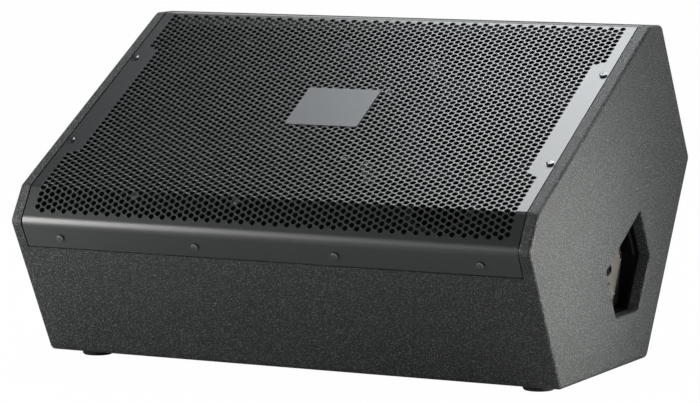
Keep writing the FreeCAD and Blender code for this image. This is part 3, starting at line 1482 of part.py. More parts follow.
def check_document():
    for item in doc.Objects:
        if "Invalid" in item.State or "Error" in item.State:
            raise RuntimeError("failed object: " + item.Label)
    for name in NODES:
        shape = doc.getObject(name).Shape
        if shape.isNull() or not shape.isValid() or not shape.Solids:
            raise RuntimeError("bad shape: " + name)


def write_parts():
    os.makedirs("parts", exist_ok=True)
    for name in NODES:
        doc.getObject(name).Shape.exportStep("parts/%s.step" % name)


make_cabinet()
make_baffle()
make_cleats()
make_brace()
make_lining()
make_grille()
make_woofer_frame()
make_cone()
make_dust_cap()
make_surround()
make_spider()
make_motor()
make_woofer_hardware()
make_horn()
make_driver()
make_ports()
make_recesses()
make_crossover()
make_feet()
doc.recompute()
check_document()
write_parts()
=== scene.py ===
"""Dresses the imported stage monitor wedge: paint, perforated grille, fastenings, foam and a plain studio."""

import json
import math

import bmesh
import bpy
from bpy.props import FloatProperty, FloatVectorProperty, IntProperty, PointerProperty
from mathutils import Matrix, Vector
from mathutils.geometry import intersect_line_line


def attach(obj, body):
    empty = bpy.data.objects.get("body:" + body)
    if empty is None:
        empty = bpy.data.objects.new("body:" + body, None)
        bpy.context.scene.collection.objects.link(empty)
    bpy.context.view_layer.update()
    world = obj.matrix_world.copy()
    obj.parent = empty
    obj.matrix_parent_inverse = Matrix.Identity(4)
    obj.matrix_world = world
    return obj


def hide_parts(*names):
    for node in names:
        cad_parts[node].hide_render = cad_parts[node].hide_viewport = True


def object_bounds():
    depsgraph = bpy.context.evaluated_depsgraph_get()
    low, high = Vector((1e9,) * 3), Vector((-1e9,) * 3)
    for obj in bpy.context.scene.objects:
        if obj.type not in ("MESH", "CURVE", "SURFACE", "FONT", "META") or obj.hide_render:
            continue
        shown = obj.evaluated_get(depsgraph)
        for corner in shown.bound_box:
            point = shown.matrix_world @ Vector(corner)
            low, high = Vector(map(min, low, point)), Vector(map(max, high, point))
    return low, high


bl_info = {
    "name": "Stage monitor wedge",
    "version": (1, 0, 0),
    "blender": (4, 5, 0),
    "location": "View3D > Sidebar > Wedge",
    "description": "Finishes, perforated grille, screws, foam and studio of a stage monitor wedge",
    "category": "Object",
}

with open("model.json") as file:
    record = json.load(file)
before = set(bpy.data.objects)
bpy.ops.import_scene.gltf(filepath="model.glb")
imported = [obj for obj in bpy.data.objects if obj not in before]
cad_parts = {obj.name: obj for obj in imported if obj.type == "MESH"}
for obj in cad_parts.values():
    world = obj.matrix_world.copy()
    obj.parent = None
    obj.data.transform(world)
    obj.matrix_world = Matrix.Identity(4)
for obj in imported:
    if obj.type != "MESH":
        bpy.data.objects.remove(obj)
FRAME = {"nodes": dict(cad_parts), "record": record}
CAD_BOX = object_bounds()
MM = 0.001
ACROSS = Vector((1.0, 0.0, 0.0))
WHITE = (1.0, 1.0, 1.0, 1.0)
TOUCH = 0.001 * MM  # CAD points closer than this are one point
WELD = 0.01 * MM  # made points closer than this are merged
FLUSH = 0.05 * MM  # points this near to a head's highest point are on its outer face
SHORTEST_FLAT = 15.0 * MM  # shorter runs of the grille's outline are facets of its bends
SLIVER = 1e-10  # square metres: smaller faces are left out

GRILLE_SLICES = 4
HOLE_SIDES = 12
BEND_FACETS = 16
SHEET_CREASE, SCREW_CREASE = 1.0, 0.6  # radians: sharper edges are shaded sharp
SCREW_SPIN_SEED = 4

FLOOR_REACH = 12.0
FLOOR_FADE = (1.5, 6.0)  # metres from the middle, over which the mirrored floor turns white
FLOOR_WHITE = 0.99
PLAIN_LIGHT = 0.22  # brightness of the surroundings, which are 1 where they are seen or mirrored
CEILING_RISE = (0.12, 0.45)  # sines of the angles above the horizon between which it darkens
CEILING_LOSS = 0.14
CAMERA_PLACE = (1.8897, -3.7842, 0.6785)
CAMERA_ROLL = math.radians(0.019)


# ---------------------------------------------------------------- nodes
def pick(sockets, key):
    """The socket with this index, identifier or name."""
    if isinstance(key, int):
        return sockets[key]
    for trait in ("identifier", "name"):
        for socket in sockets:
            if getattr(socket, trait) == key and socket.enabled:
                return socket
    raise KeyError(f"no socket {key!r} among {[socket.name for socket in sockets]}")


class Wire:
    """An output socket of a node tree. Arithmetic on it adds Math nodes, and node() adds any other node."""

    def __init__(self, tree, socket=None):
        self.tree = tree
        self.socket = socket

    def node(self, kind, settings=None, inputs=None, output=0):
        """Adds one node: its settings first, then the values or wires of its inputs."""
        made = self.tree.nodes.new(kind)
        for key, value in (settings or {}).items():
            setattr(made, key, value)
        for key, value in (inputs or {}).items():
            target = pick(made.inputs, key)
            for entry in value if isinstance(value, list) else [value]:
                if isinstance(entry, Wire):
                    self.tree.links.new(entry.socket, target)
                else:
                    target.default_value = entry
        return Wire(self.tree, pick(made.outputs, output) if len(made.outputs) else None)

    def out(self, key):
        """Another output of this wire's node."""
        return Wire(self.tree, pick(self.socket.node.outputs, key))

    def math(self, operation, *terms):
        return self.node("ShaderNodeMath", {"operation": operation}, dict(enumerate(terms)))

    def vector_math(self, operation, *terms, output=0):
        return self.node("ShaderNodeVectorMath", {"operation": operation}, dict(enumerate(terms)), output)

    def __add__(self, other):
        return self.math("ADD", self, other)

    def __sub__(self, other):
        return self.math("SUBTRACT", self, other)

    def __rsub__(self, other):
        return self.math("SUBTRACT", other, self)

    def __mul__(self, other):
        return self.math("MULTIPLY", self, other)

    def __truediv__(self, other):
        return self.math("DIVIDE", self, other)

    def __pow__(self, other):
        return self.math("POWER", self, other)

    def __mod__(self, other):
        return self.math("FLOORED_MODULO", self, other)

    def __neg__(self):
        return self.math("MULTIPLY", self, -1.0)

    def __gt__(self, other):
        return self.math("GREATER_THAN", self, other)

    def __lt__(self, other):
        return self.math("LESS_THAN", self, other)

    __radd__ = __add__

    def between(self, low, high):
        """0 below low, 1 above high and a smooth rise between them."""
        settings = {"interpolation_type": "SMOOTHSTEP", "clamp": True}
        return self.node("ShaderNodeMapRange", settings, {"Value": self, "From Min": low, "From Max": high})

    def shades(self, colour, low, high):
        """From one share of a colour to another as this value goes from 0 to 1."""
        inputs = {"Factor_Float": self, "A_Color": tint(colour, low), "B_Color": tint(colour, high)}
        return self.node("ShaderNodeMix", {"data_type": "RGBA"}, inputs, "Result_Color")

    def vector(self, **axes):
        """A vector with these values of X, Y and Z, and 0 for the others."""
        return self.node("ShaderNodeCombineXYZ", inputs=axes)

    def axes(self):
        """The X of this vector; out() gives its Y and Z."""
        return self.node("ShaderNodeSeparateXYZ", inputs={"Vector": self})

    def scaled(self, factor):
        """This vector times a number."""
        return self.node("ShaderNodeVectorMath", {"operation": "SCALE"}, {0: self, "Scale": factor})

    def position(self):
        """The X of each point's position; out() gives its Y and Z."""
        return self.node("GeometryNodeInputPosition").axes()

    def attribute(self, name, kind="FLOAT_VECTOR"):
        """A named attribute of each point."""
        return self.node("GeometryNodeInputNamedAttribute", {"data_type": kind}, {"Name": name})

    def joined(self, *others):
        """This geometry together with others."""
        return self.node("GeometryNodeJoinGeometry", inputs={"Geometry": [self, *others]})

    def moved(self, **axes):
        """This geometry moved along X, Y and Z."""
        inputs = {"Geometry": self, "Translation": self.vector(**axes)}
        return self.node("GeometryNodeTransform", inputs=inputs)

    def pushed(self, offset, **more):
        """This geometry with an offset added to each point."""
        return self.node("GeometryNodeSetPosition", inputs={"Geometry": self, "Offset": offset, **more})

    def flipped(self):
        """This mesh with its inner and outer sides swapped."""
        return self.node("GeometryNodeFlipFaces", inputs={"Mesh": self})

    def welded(self):
        """This mesh with its touching points merged."""
        return self.node("GeometryNodeMergeByDistance", inputs={"Geometry": self, "Distance": WELD})

    def bearing(self, thing, **more):
        """Instances of a thing on these points."""
        return self.node("GeometryNodeInstanceOnPoints", inputs={"Points": self, "Instance": thing, **more})

    def realised(self):
        """These instances as one real mesh."""
        return self.node("GeometryNodeRealizeInstances", inputs={"Geometry": self})

    def creased(self, angle):
        """This mesh with its sharp edges shaded sharp."""
        sharp = self.node("GeometryNodeInputMeshEdgeAngle", output="Unsigned Angle") > angle
        return self.node("GeometryNodeSetShadeSmooth", {"domain": "EDGE"},
                         {"Geometry": self, "Selection": sharp, "Shade Smooth": False})

    def passed_out(self, given):
        """Gives this geometry the finish of its group's input and makes it the group's output; the group."""
        inputs = {"Geometry": self, "Material": given.out("Finish")}
        self.node("NodeGroupOutput", inputs={0: self.node("GeometryNodeSetMaterial", inputs=inputs)})
        return self.tree


# ---------------------------------------------------------------- finishes
def tint(colour, share=1.0):
    """An opaque colour from three numbers, made lighter or darker by a share."""
    return tuple(channel * share for channel in colour[:3]) + (1.0,)


def place_on(root, scale=(1.0, 1.0, 1.0)):
    """The piece's own coordinates in metres, stretched by a scale."""
    place = root.node("ShaderNodeTexCoord", output="Object")
    return root.node("ShaderNodeMapping", inputs={"Vector": place, "Scale": scale})


def grain(root, place, per_metre, detail=2.0, roughness=0.5):
    """Cloudy variation with about this many cells in a metre."""
    inputs = {"Vector": place, "Scale": per_metre, "Detail": detail, "Roughness": roughness}
    return root.node("ShaderNodeTexNoise", inputs=inputs, output="Fac")


def threads(root, place, per_metre, *directions):
    """Even waves across each direction, as in a winding or, with two, a cloth."""
    waves = [root.node("ShaderNodeTexWave", {"wave_type": "BANDS", "bands_direction": direction},
                       {"Vector": place, "Scale": per_metre}, "Fac") for direction in directions]
    return math.prod(waves[1:], start=waves[0])


def relief(root, height, depth):
    """A normal from a height of 0 to 1 that stands for this many millimetres."""
    return root.node("ShaderNodeBump", inputs={"Height": height, "Distance": depth * MM})


def emptied(block):
    """The node tree of a new material or world, with nothing in it."""
    block.use_nodes = True
    block.node_tree.nodes.clear()
    return Wire(block.node_tree)


def finish(name, build):
    """A material: build adds its nodes and returns the inputs of its Principled shader."""
    made = bpy.data.materials.new(name)
    root = emptied(made)
    shader = root.node("ShaderNodeBsdfPrincipled", inputs=build(root))
    root.node("ShaderNodeOutputMaterial", inputs={"Surface": shader})
    return made


def spattered_paint(colour):
    """Hard-wearing cabinet paint, sprayed in fine drops that stand up from the board."""

    def build(root):
        place = place_on(root)
        drops = grain(root, place, 540.0, 2.0, 0.6)
        specks = grain(root, place, 700.0, 1.0)
        coat = grain(root, place, 9.0, 2.0)
        height = drops * 0.7 + specks * 0.3
        # painted highlights: the drops' highest tops made up to 3.4 times lighter and glossier, standing for
        # light catching the raised spatter
        painted_highlight = height.between(0.51, 0.61)
        return {
            "Base Color": painted_highlight.shades(colour, 0.3, 3.4),
            "Roughness": 0.47 + coat * 0.06 - painted_highlight * 0.17,
            "IOR": 1.55,
            "Normal": relief(root, height, 1.5),
        }

    return finish("spattered_cabinet_paint", build)


def powder_coat(colour):
    """Satin powder coat baked on sheet steel, with a faint skin like an orange's."""

    def build(root):
        place = place_on(root)
        skin = grain(root, place, 700.0, 1.0)
        sweep = grain(root, place, 6.0, 2.0)
        return {
            "Base Color": sweep.shades(colour, 0.85, 1.2),
            "Roughness": 0.36 + sweep * 0.04 + skin * 0.02,
            "Coat Weight": 0.75,
            "Coat Roughness": 0.31,
            "Normal": relief(root, skin, 0.03),
        }

    return finish("satin_powder_coat", build)


def brushed_badge(colour):
    """Silver-grey lacquer over a plate brushed along its length."""

    def build(root):
        strokes = grain(root, place_on(root, (12.0, 600.0, 600.0)), 3.0, 3.0)
        cloud = grain(root, place_on(root), 30.0, 2.0)
        return {
            "Base Color": (strokes * 0.5 + cloud * 0.5).shades(colour, 0.9, 1.1),
            "Metallic": 0.35,
            "Roughness": 0.42 + strokes * 0.08,
            "Normal": relief(root, strokes, 0.02),
        }

    return finish("brushed_badge_lacquer", build)


def metal(name, colour, roughness, per_metre, worn=0.15, metallic=1.0, shine=0.5):
    """Bare, plated or blackened metal with a fine grain and slightly uneven polish."""

    def build(root):
        place = place_on(root)
        fine = grain(root, place, per_metre, 2.0)
        patch = grain(root, place, per_metre / 12.0, 2.0).between(0.35, 0.7)
        return {
            "Base Color": patch.shades(colour, 1.0, 1.0 - worn),
            "Metallic": metallic,
            "Specular IOR Level": shine,
            "Roughness": roughness + fine * 0.12 + patch * 0.05,
            "Normal": relief(root, fine, 0.03),
        }

    return finish(name, build)


def moulded(name, colour, roughness, per_metre, depth, shine=0.5):
    """Moulded plastic or rubber with the fine sparked texture of its mould, this deep in millimetres."""

    def build(root):
        place = place_on(root)
        spark = grain(root, place, per_metre, 2.0, 0.6)
        flow = grain(root, place, 14.0, 2.0)
        return {
            "Base Color": flow.shades(colour, 0.85, 1.2),
            "Roughness": roughness + spark * 0.12,
            "Specular IOR Level": shine,
            "Normal": relief(root, spark, depth),
        }

    return finish(name, build)


def woven(name, colour, per_metre, depth):
    """Resin-treated cloth: two sets of threads over and under each other, this deep in millimetres."""

    def build(root):
        place = place_on(root)
        cloth = threads(root, place, per_metre, "X", "Y")
        fibre = grain(root, place, per_metre * 3.0, 2.0)
        return {
            "Base Color": cloth.shades(colour, 0.6, 1.15),
            "Roughness": 0.78 + fibre * 0.15,
            "Specular IOR Level": 0.05,
            "Normal": relief(root, cloth + fibre * 0.3, depth),
        }

    return finish(name, build)


def pressed_pulp(name, colour):
    """Pressed paper pulp with long fibres under a damping coat."""

    def build(root):
        place = place_on(root)
        pulp = grain(root, place, 500.0, 4.0, 0.65)
        fibre = grain(root, place_on(root, (1.0, 5.0, 1.0)), 140.0, 3.0)
        return {
            "Base Color": (pulp * 0.5 + fibre * 0.5).shades(colour, 0.6, 1.5),
            "Roughness": 0.62 + pulp * 0.2,
            "Specular IOR Level": 0.05,
            "Normal": relief(root, pulp + fibre * 0.5, 0.15),
        }

    return finish(name, build)


def open_cell(name, colour, per_metre):
    """Open-cell foam: matt struts around pores, whose shade is painted in as a darker colour."""

    def build(root):
        place = place_on(root)
        cells = root.node("ShaderNodeTexVoronoi", inputs={"Vector": place, "Scale": per_metre})
        pores = cells.between(0.25, 0.6)
        cloud = grain(root, place, 20.0, 2.0)
        return {
            # painted shade: the pores darker than the struts
            "Base Color": pores.shades(colour, 0.35, 1.3),
            "Roughness": 0.9 + cloud * 0.08,
            "Normal": relief(root, pores, 0.6),
        }

    return finish(name, build)


def painted_ply(name, colour):
    """Black-painted birch plywood whose grain shows faintly through the paint."""

    def build(root):
        rings = grain(root, place_on(root, (4.0, 60.0, 60.0)), 6.0, 4.0)
        nap = grain(root, place_on(root), 350.0, 2.0)
        return {
            "Base Color": rings.shades(colour, 0.7, 1.4),
            "Roughness": 0.75 + nap * 0.2,
            "Specular IOR Level": 0.03,
            "Normal": relief(root, rings * 0.7 + nap * 0.3, 0.2),
        }

    return finish(name, build)


def wound_wire(name, colour):
    """Enamelled copper wire laid turn beside turn."""

    def build(root):
        place = place_on(root)
        turns = threads(root, place, 260.0, "Z")
        tarnish = grain(root, place, 60.0, 2.0)
        return {
            "Base Color": (turns * 0.7 + tarnish * 0.3).shades(colour, 0.35, 1.2),
            "Metallic": 1.0,
            "Roughness": 0.28 + tarnish * 0.12,
            "Normal": relief(root, turns, 0.3),
        }

    return finish(name, build)


def laminate(name, colour):
    """Glass-fibre circuit board under solder resist, with the weave just showing."""

    def build(root):
        place = place_on(root)
        weave = threads(root, place, 500.0, "X", "Y")
        cloud = grain(root, place, 40.0, 2.0)
        return {
            "Base Color": (weave * 0.4 + cloud * 0.6).shades(colour, 0.7, 1.3),
            "Roughness": 0.3 + weave * 0.1,
            "Normal": relief(root, weave, 0.03),
        }

    return finish(name, build)


def make_finishes(sizes):
    """Every finish, by the name of the record's material slot that it belongs to."""
    black = (0.011, 0.011, 0.012)
    deep = (0.003, 0.0033, 0.004)  # black of the parts behind the grille, darkened past their own colour as painted shade so that its holes stay dark
    return {
        "cabinet_paint": spattered_paint(sizes.paint_colour),
        "grille_steel": powder_coat(sizes.grille_colour),
        "badge_grey": brushed_badge(sizes.badge_colour),
        "screw_black": metal("blackened_screw", (0.22, 0.22, 0.23), 0.2, 900.0),
        "screw_bright": metal("nickel_screw", (0.7, 0.7, 0.68), 0.14, 900.0, 0.1),
        "frame_cast": metal("painted_casting", deep, 0.65, 420.0, metallic=0.0, shine=0.05),
        "motor_steel": metal("zinc_plated_steel", (0.55, 0.55, 0.52), 0.3, 500.0),
        "ferrite": metal("sintered_ferrite", (0.05, 0.05, 0.055), 0.55, 500.0, metallic=0.2),
        "driver_paint": metal("gloss_black_casting", (0.02, 0.02, 0.022), 0.25, 420.0, metallic=0.0),
        "dome_metal": metal("dome_foil", (0.75, 0.76, 0.78), 0.22, 600.0, 0.08),
        "plate_steel": metal("satin_grey_plate", sizes.plate_colour, 0.4, 700.0, 0.12, 0.25),
        "copper": wound_wire("enamelled_copper", (0.72, 0.3, 0.14)),
        "black_plastic": moulded("textured_black_plastic", (0.0035, 0.004, 0.0045),
                                 0.55, 1100.0, 0.05, 0.08),
        "horn_plastic": moulded("satin_horn_plastic", deep, 0.55, 800.0, 0.03, 0.05),
        "socket_plastic": moulded("socket_nylon", black, 0.3, 900.0, 0.02),
        "switch_plastic": moulded("switch_nylon", (0.03, 0.03, 0.03), 0.32, 900.0, 0.02),
        "foot_rubber": moulded("foot_rubber", (0.012, 0.012, 0.012), 0.72, 500.0, 0.12),
        "former": moulded("polyimide_former", (0.2, 0.09, 0.02), 0.3, 500.0, 0.01),
        "ceramic": moulded("cement_body", (0.62, 0.6, 0.54), 0.75, 700.0, 0.08),
        "capacitor_film": moulded("wrapped_film", (0.5, 0.38, 0.05), 0.3, 200.0, 0.02),
        "surround_cloth": woven("doped_cloth", deep, 420.0, 0.12),
        "spider_cloth": woven("resin_cloth", (0.42, 0.24, 0.09), 380.0, 0.15),
        "cone_paper": pressed_pulp("coated_cone_pulp", deep),
        # painted shade: the gasket, like the parts above, is darkened past its own black so that the grille's
        # holes stay dark
        "gasket": pressed_pulp("gasket_board", (0.003, 0.003, 0.003)),
        "foam": open_cell("lining_foam", (0.07, 0.07, 0.075), 260.0),
        "bumper_foam": open_cell("bumper_foam", (0.24, 0.25, 0.26), 420.0),
        # painted shade: the baffle's plywood is darkened past its own black paint so that the grille's holes
        # stay dark
        "inner_board": painted_ply("painted_ply", (0.0018, 0.002, 0.0024)),
        "circuit_board": laminate("green_laminate", (0.01, 0.09, 0.03)),
    }


FINISHES = {}


# ---------------------------------------------------------------- pieces
def node_group(name, sizes, counts=()):
    """A Geometry Nodes group for a geometry, sizes, counts and a finish: the wires of all but the last."""
    group = bpy.data.node_groups.new(name, "GeometryNodeTree")
    kinds = {"Geometry": "Geometry", **dict.fromkeys(sizes, "Float"), **dict.fromkeys(counts, "Int"),
             "Finish": "Material"}
    for label, kind in kinds.items():
        group.interface.new_socket(label, in_out="INPUT", socket_type="NodeSocket" + kind)
    group.interface.new_socket("Geometry", in_out="OUTPUT", socket_type="NodeSocketGeometry")
    given = Wire(group).node("NodeGroupInput")
    return given, *map(given.out, (*sizes, *counts))


def grown(name, seed, group, values):
    """A plain mesh object grown from a seed mesh by a Geometry Nodes group with these input values."""
    piece = bpy.data.objects.new(name, seed)
    modifier = piece.modifiers.new(name, "NODES")
    modifier.node_group = group
    for item in group.interface.items_tree:
        if item.item_type == "SOCKET" and item.in_out == "INPUT" and item.name in values:
            modifier[item.identifier] = values[item.name]
    bpy.context.scene.collection.objects.link(piece)
    result = piece.evaluated_get(bpy.context.evaluated_depsgraph_get())
    piece.data = bpy.data.meshes.new_from_object(result)
    piece.modifiers.clear()
    piece.data.name = name
    return piece


def merged(node):
    """A bmesh copy of a CAD node's mesh with its loose triangles joined."""
    mesh = bmesh.new()
    mesh.from_mesh(FRAME["nodes"][node].data)
    bmesh.ops.remove_doubles(mesh, verts=mesh.verts, dist=TOUCH)
    return mesh


def islands(mesh):
    """The points of each separate solid of a bmesh, in an order that is the same in each run."""
    found = []
    reached = set()
    for first in mesh.verts:
        if first in reached:
            continue
        reached.add(first)
        front = [first]
        island = []
        while front:
            vert = front.pop()
            island.append(vert.co.copy())
            for edge in vert.link_edges:
                other = edge.other_vert(vert)
                if other not in reached:
                    reached.add(other)
                    front.append(other)
        found.append(island)
    return found


def heads_of(node, facing):
    """The middle of the outer face of each fastener of a CAD node, which all look the same way."""
    mesh = merged(node)
    middles = []
    for island in islands(mesh):
        reach = max(point.dot(facing) for point in island)
        rim = [point for point in island if point.dot(facing) > reach - FLUSH]
        middles.append(sum(rim, Vector()) / len(rim))
    mesh.free()
    return middles


def sheet_path():
    """The grille's outline in section with sharp corners, from its rear edge down to its front edge."""
    mesh = merged("grille")
    side = max(vert.co.x for vert in mesh.verts)
    at_side = [face for face in mesh.faces if all(vert.co.x > side - TOUCH for vert in face.verts)]
    chosen = set(at_side)
    rim = [edge for face in at_side for edge in face.edges
           if sum(linked in chosen for linked in edge.link_faces) == 1]
    beside = {}
    for edge in rim:
        for vert in edge.verts:
            beside.setdefault(vert, []).append(edge.other_vert(vert))
    start = max(beside, key=lambda vert: (round(vert.co.y, 6), vert.co.z))
    last = min(beside, key=lambda vert: vert.co.z)
    step = max(beside[start], key=lambda vert: vert.co.z)
    path = [start, step]
    while path[-1] is not last:
        path.append(next(vert for vert in beside[path[-1]] if vert is not path[-2]))
    points = [Vector((0.0, vert.co.y, vert.co.z)) for vert in path]
    mesh.free()
    flats = [run for run in zip(points, points[1:]) if (run[1] - run[0]).length > SHORTEST_FLAT]
    corners = [intersect_line_line(*run, *after)[0] for run, after in zip(flats, flats[1:])]
    return [points[0], *corners, points[-1]], side


def wire_mesh(name, points, joined):
    """A mesh of these points, joined in a row or left loose."""
    mesh = bpy.data.meshes.new(name)
    rows = [(index, index + 1) for index in range(len(points) - 1)] if joined else []
    mesh.from_pydata(points, rows, [])
    return mesh


def outwards_of(run):
    """The way that the sheet's outer side looks on a straight run of its outline."""
    return (run[1] - run[0]).cross(ACROSS).normalized()


def longest(path):
    """The longest straight run of an outline."""
    return max(zip(path, path[1:]), key=lambda run: (run[1] - run[0]).length)


def perforated_group():
    """Sheet laid flat as (across, along, outwards), punched in staggered columns, then bent on a path."""
    (root, thickness, hole, rim, pitch, step, edge, start, run, left, right,
     solid_from, solid_start, solid_end, facet, columns, first, rows) = node_group("perforated_sheet", (
         "Thickness", "Hole Diameter", "Rolled Rim", "Row Pitch", "Column Pitch", "Lattice Edge", "Start",
         "Length", "Left", "Right", "Solid Columns From", "Solid Start", "Solid End", "Bend Step",
     ), ("Columns", "First Column", "Rows"))
    radius = hole / 2.0
    outline = root.node("GeometryNodeCurvePrimitiveQuadrilateral", inputs={"Width": step, "Height": pitch})
    outline = root.node("GeometryNodeSubdivideCurve", inputs={"Curve": outline, "Cuts": 1})

    def punched(opening):
        """One cell of the sheet with its hole, flat."""
        inputs = {"Resolution": HOLE_SIDES, "Radius": opening}
        circle = root.node("GeometryNodeCurvePrimitiveCircle", inputs=inputs)
        return root.node("GeometryNodeFillCurve", inputs={"Curve": outline.joined(circle)})

    blank = root.node("GeometryNodeFillCurve", inputs={"Curve": outline})
    rolled = root.node("GeometryNodeMeshCone", {"fill_type": "NONE"}, {
        "Vertices": HOLE_SIDES, "Radius Top": radius + rim, "Radius Bottom": radius, "Depth": rim})
    rimmed = punched(radius + rim).joined(rolled.moved(Z=-rim).flipped())

    def loose(count, column, along):
        """Points in the middle of these columns."""
        place = root.vector(X=edge + (column + 0.5) * step, Y=along)
        return root.node("GeometryNodePoints", inputs={"Count": count, "Position": place})

    index = root.node("GeometryNodeInputIndex")
    column = root.math("FLOOR", index / rows) + first
    lattice = loose(columns * rows, column, start + (index % rows + 0.5 + (column % 2.0) * 0.5) * pitch)
    place = root.position()
    beside = root.math("ABSOLUTE", place) > solid_from
    level = (place.out("Y") > solid_start) * (place.out("Y") < solid_end)
    parted = root.node("GeometryNodeSeparateGeometry", {"domain": "POINT"},
                       {"Geometry": lattice, "Selection": beside * level}, "Inverted")
    blanks = parted.out("Selection").bearing(blank)
    column = index + first
    ends = loose(columns, column, start + pitch * 0.25 + (1.0 - column % 2.0) * rows * pitch)
    ends = ends.bearing(blank, Scale=(1.0, 0.5, 1.0))

    def facets(plain):
        """The number of points along a plain run, close enough for it to bend."""
        return root.math("CEIL", plain / facet) + 1.0

    low = edge + first * step
    high = low + columns * step
    stop = start + (rows + 0.5) * pitch
    patches = []
    along = ((0.0, start, facets(start)), (start, stop, rows * 2.0 + 2.0), (stop, run, facets(run - stop)))
    for x_from, x_to, x_points in ((left, low, 2), (low, high, columns * 2.0 + 1.0), (high, right, 2)):
        for y_from, y_to, y_points in along:
            if x_from is low and y_from is start:
                continue  # the perforated field itself
            grid = root.node("GeometryNodeMeshGrid", inputs={
                "Size X": x_to - x_from, "Size Y": y_to - y_from,
                "Vertices X": x_points, "Vertices Y": y_points})
            patches.append(grid.moved(X=(x_from + x_to) * 0.5, Y=(y_from + y_to) * 0.5))

    area = root.node("GeometryNodeInputMeshFaceArea")

    def whole(cell):
        """The sheet's whole flat face, with this cell at every hole."""
        face = parted.bearing(cell).joined(blanks, ends, *patches).realised().welded()
        return root.node("GeometryNodeDeleteGeometry", {"domain": "FACE"},
                         {"Geometry": face, "Selection": area < SLIVER})

    rims = root.node("GeometryNodeInputMeshEdgeNeighbors") < 1.5
    down = root.vector(Z=-thickness - root.position().out("Z"))
    walled = root.node("GeometryNodeExtrudeMesh", {"mode": "EDGES"},
                       {"Mesh": whole(rimmed), "Selection": rims, "Offset": down})
    sheet = walled.joined(whole(punched(radius)).moved(Z=-thickness).flipped()).welded()

    flat = root.position()
    path = root.node("GeometryNodeMeshToCurve", inputs={"Mesh": root})
    path = root.node("GeometryNodeFilletCurve", {"mode": "POLY"},
                     {"Curve": path, "Count": BEND_FACETS, "Radius": root.attribute("bend", "FLOAT")})
    sample = root.node("GeometryNodeSampleCurve", {"mode": "LENGTH", "use_all_curves": True},
                       {"Curves": path, "Length": flat.out("Y")}, "Position")
    lift = root.vector_math("CROSS_PRODUCT", sample.out("Tangent"), ACROSS).scaled(flat.out("Z"))
    bent = root.vector_math("ADD", root.vector_math("ADD", sample, lift), root.vector(X=flat))
    sheet = root.node("GeometryNodeSetPosition", inputs={"Geometry": sheet, "Position": bent})
    return sheet.flipped().creased(SHEET_CREASE).passed_out(root)


def turned_on_points(given, thing, spin=0.0):
    """Real copies of a thing, one on each of the group's points, turned to its facing and then about it."""
    facing = given.attribute("facing")
    turn = given.node("FunctionNodeAlignRotationToVector", {"axis": "Z"}, {"Vector": facing})
    about = given.node("FunctionNodeAxisAngleToRotation", inputs={"Axis": (0.0, 0.0, 1.0), "Angle": spin})
    turn = given.node("FunctionNodeRotateRotation", {"rotation_space": "LOCAL"},
                      {"Rotation": turn, "Rotate By": about})
    return given.bearing(thing, Rotation=turn).realised()


def screw_group():
    """A pan head with a cross recess and its shank, set on each point and turned to the point's facing."""
    root, width, height, shank_width, shank_length = node_group(
        "cross_head_screws", ("Head Diameter", "Head Height", "Shank Diameter", "Shank Length"))
    crown, slot_length, slot_width = 0.42, 0.62, 0.13
    head = root.node("GeometryNodeMeshCylinder", inputs={
        "Vertices": 32, "Side Segments": 3, "Fill Segments": 4, "Radius": width * 0.5, "Depth": height})
    flat = root.position()
    out = root.vector_math("LENGTH", root.vector(X=flat, Y=flat.out("Y")), output="Value") / (width * 0.5)
    drop = (out ** 4.0) * crown * (flat.out("Z") / height + 0.5)
    head = head.pushed(root.vector(Z=-(drop * height)))
    bars = []
    for x_share, y_share in ((slot_length, slot_width), (slot_width, slot_length)):
        size = root.vector(X=width * x_share, Y=width * y_share, Z=height * 1.1)
        bars.append(root.node("GeometryNodeMeshCube", inputs={"Size": size}).moved(Z=height * 0.5))
    head = root.node("GeometryNodeMeshBoolean", {"operation": "DIFFERENCE"},
                     {"Mesh 1": head, "Mesh 2": bars})
    shank = root.node("GeometryNodeMeshCylinder", inputs={
        "Vertices": 16, "Radius": shank_width * 0.5, "Depth": shank_length})
    screw = head.moved(Z=height * -0.5).joined(shank.moved(Z=-(height + shank_length * 0.5)))
    spin = root.node("FunctionNodeRandomValue", {"data_type": "FLOAT"},
                     {"Max": math.pi, "Seed": SCREW_SPIN_SEED}, "Value")
    return turned_on_points(root, screw, spin).creased(SCREW_CREASE).passed_out(root)


def facing_points(name, nodes):
    """A mesh of the outer middles of CAD fastenings, with their facings: nodes maps a node to the ways."""
    points = []
    facings = []
    for node, ways in nodes.items():
        for way in ways:
            for middle in heads_of(node, way):
                points.append(middle)
                facings.append(way)
    seed = wire_mesh(name, points, False)
    facing = seed.attributes.new("facing", "FLOAT_VECTOR", "POINT")
    facing.data.foreach_set("vector", [number for way in facings for number in way])
    return seed


def make_screws(name, nodes, slot, sizes, group):
    """Detailed screws in place of CAD ones: nodes maps each CAD node to the ways that its heads face."""
    piece = grown(name, facing_points(name, nodes), group, {**sizes, "Finish": FINISHES[slot]})
    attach(piece, "cabinet")
    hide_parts(*nodes)


def button_group():
    """A foam button with rounded rims and a waist, set on each point and turned to the point's facing."""
    root, width, height, waist = node_group("foam_buttons", ("Diameter", "Height", "Waist"))
    rim_pinch, dishing = 0.12, 0.06
    button = root.node("GeometryNodeMeshCylinder", inputs={
        "Vertices": 40, "Side Segments": 12, "Fill Segments": 6, "Radius": width * 0.5, "Depth": height})
    flat = root.position()
    beside = root.vector(X=flat, Y=flat.out("Y"))
    out = root.vector_math("LENGTH", beside, output="Value") / (width * 0.5)
    level = flat.out("Z") / (height * 0.5)
    pinch = waist * (1.0 - level ** 2.0) + (level ** 8.0) * rim_pinch
    dish = (out ** 6.0) * level * height * -dishing
    button = button.pushed(root.vector_math("ADD", beside.scaled(-pinch), root.vector(Z=dish)))
    return turned_on_points(root, button.moved(Z=height * -0.5)).passed_out(root)


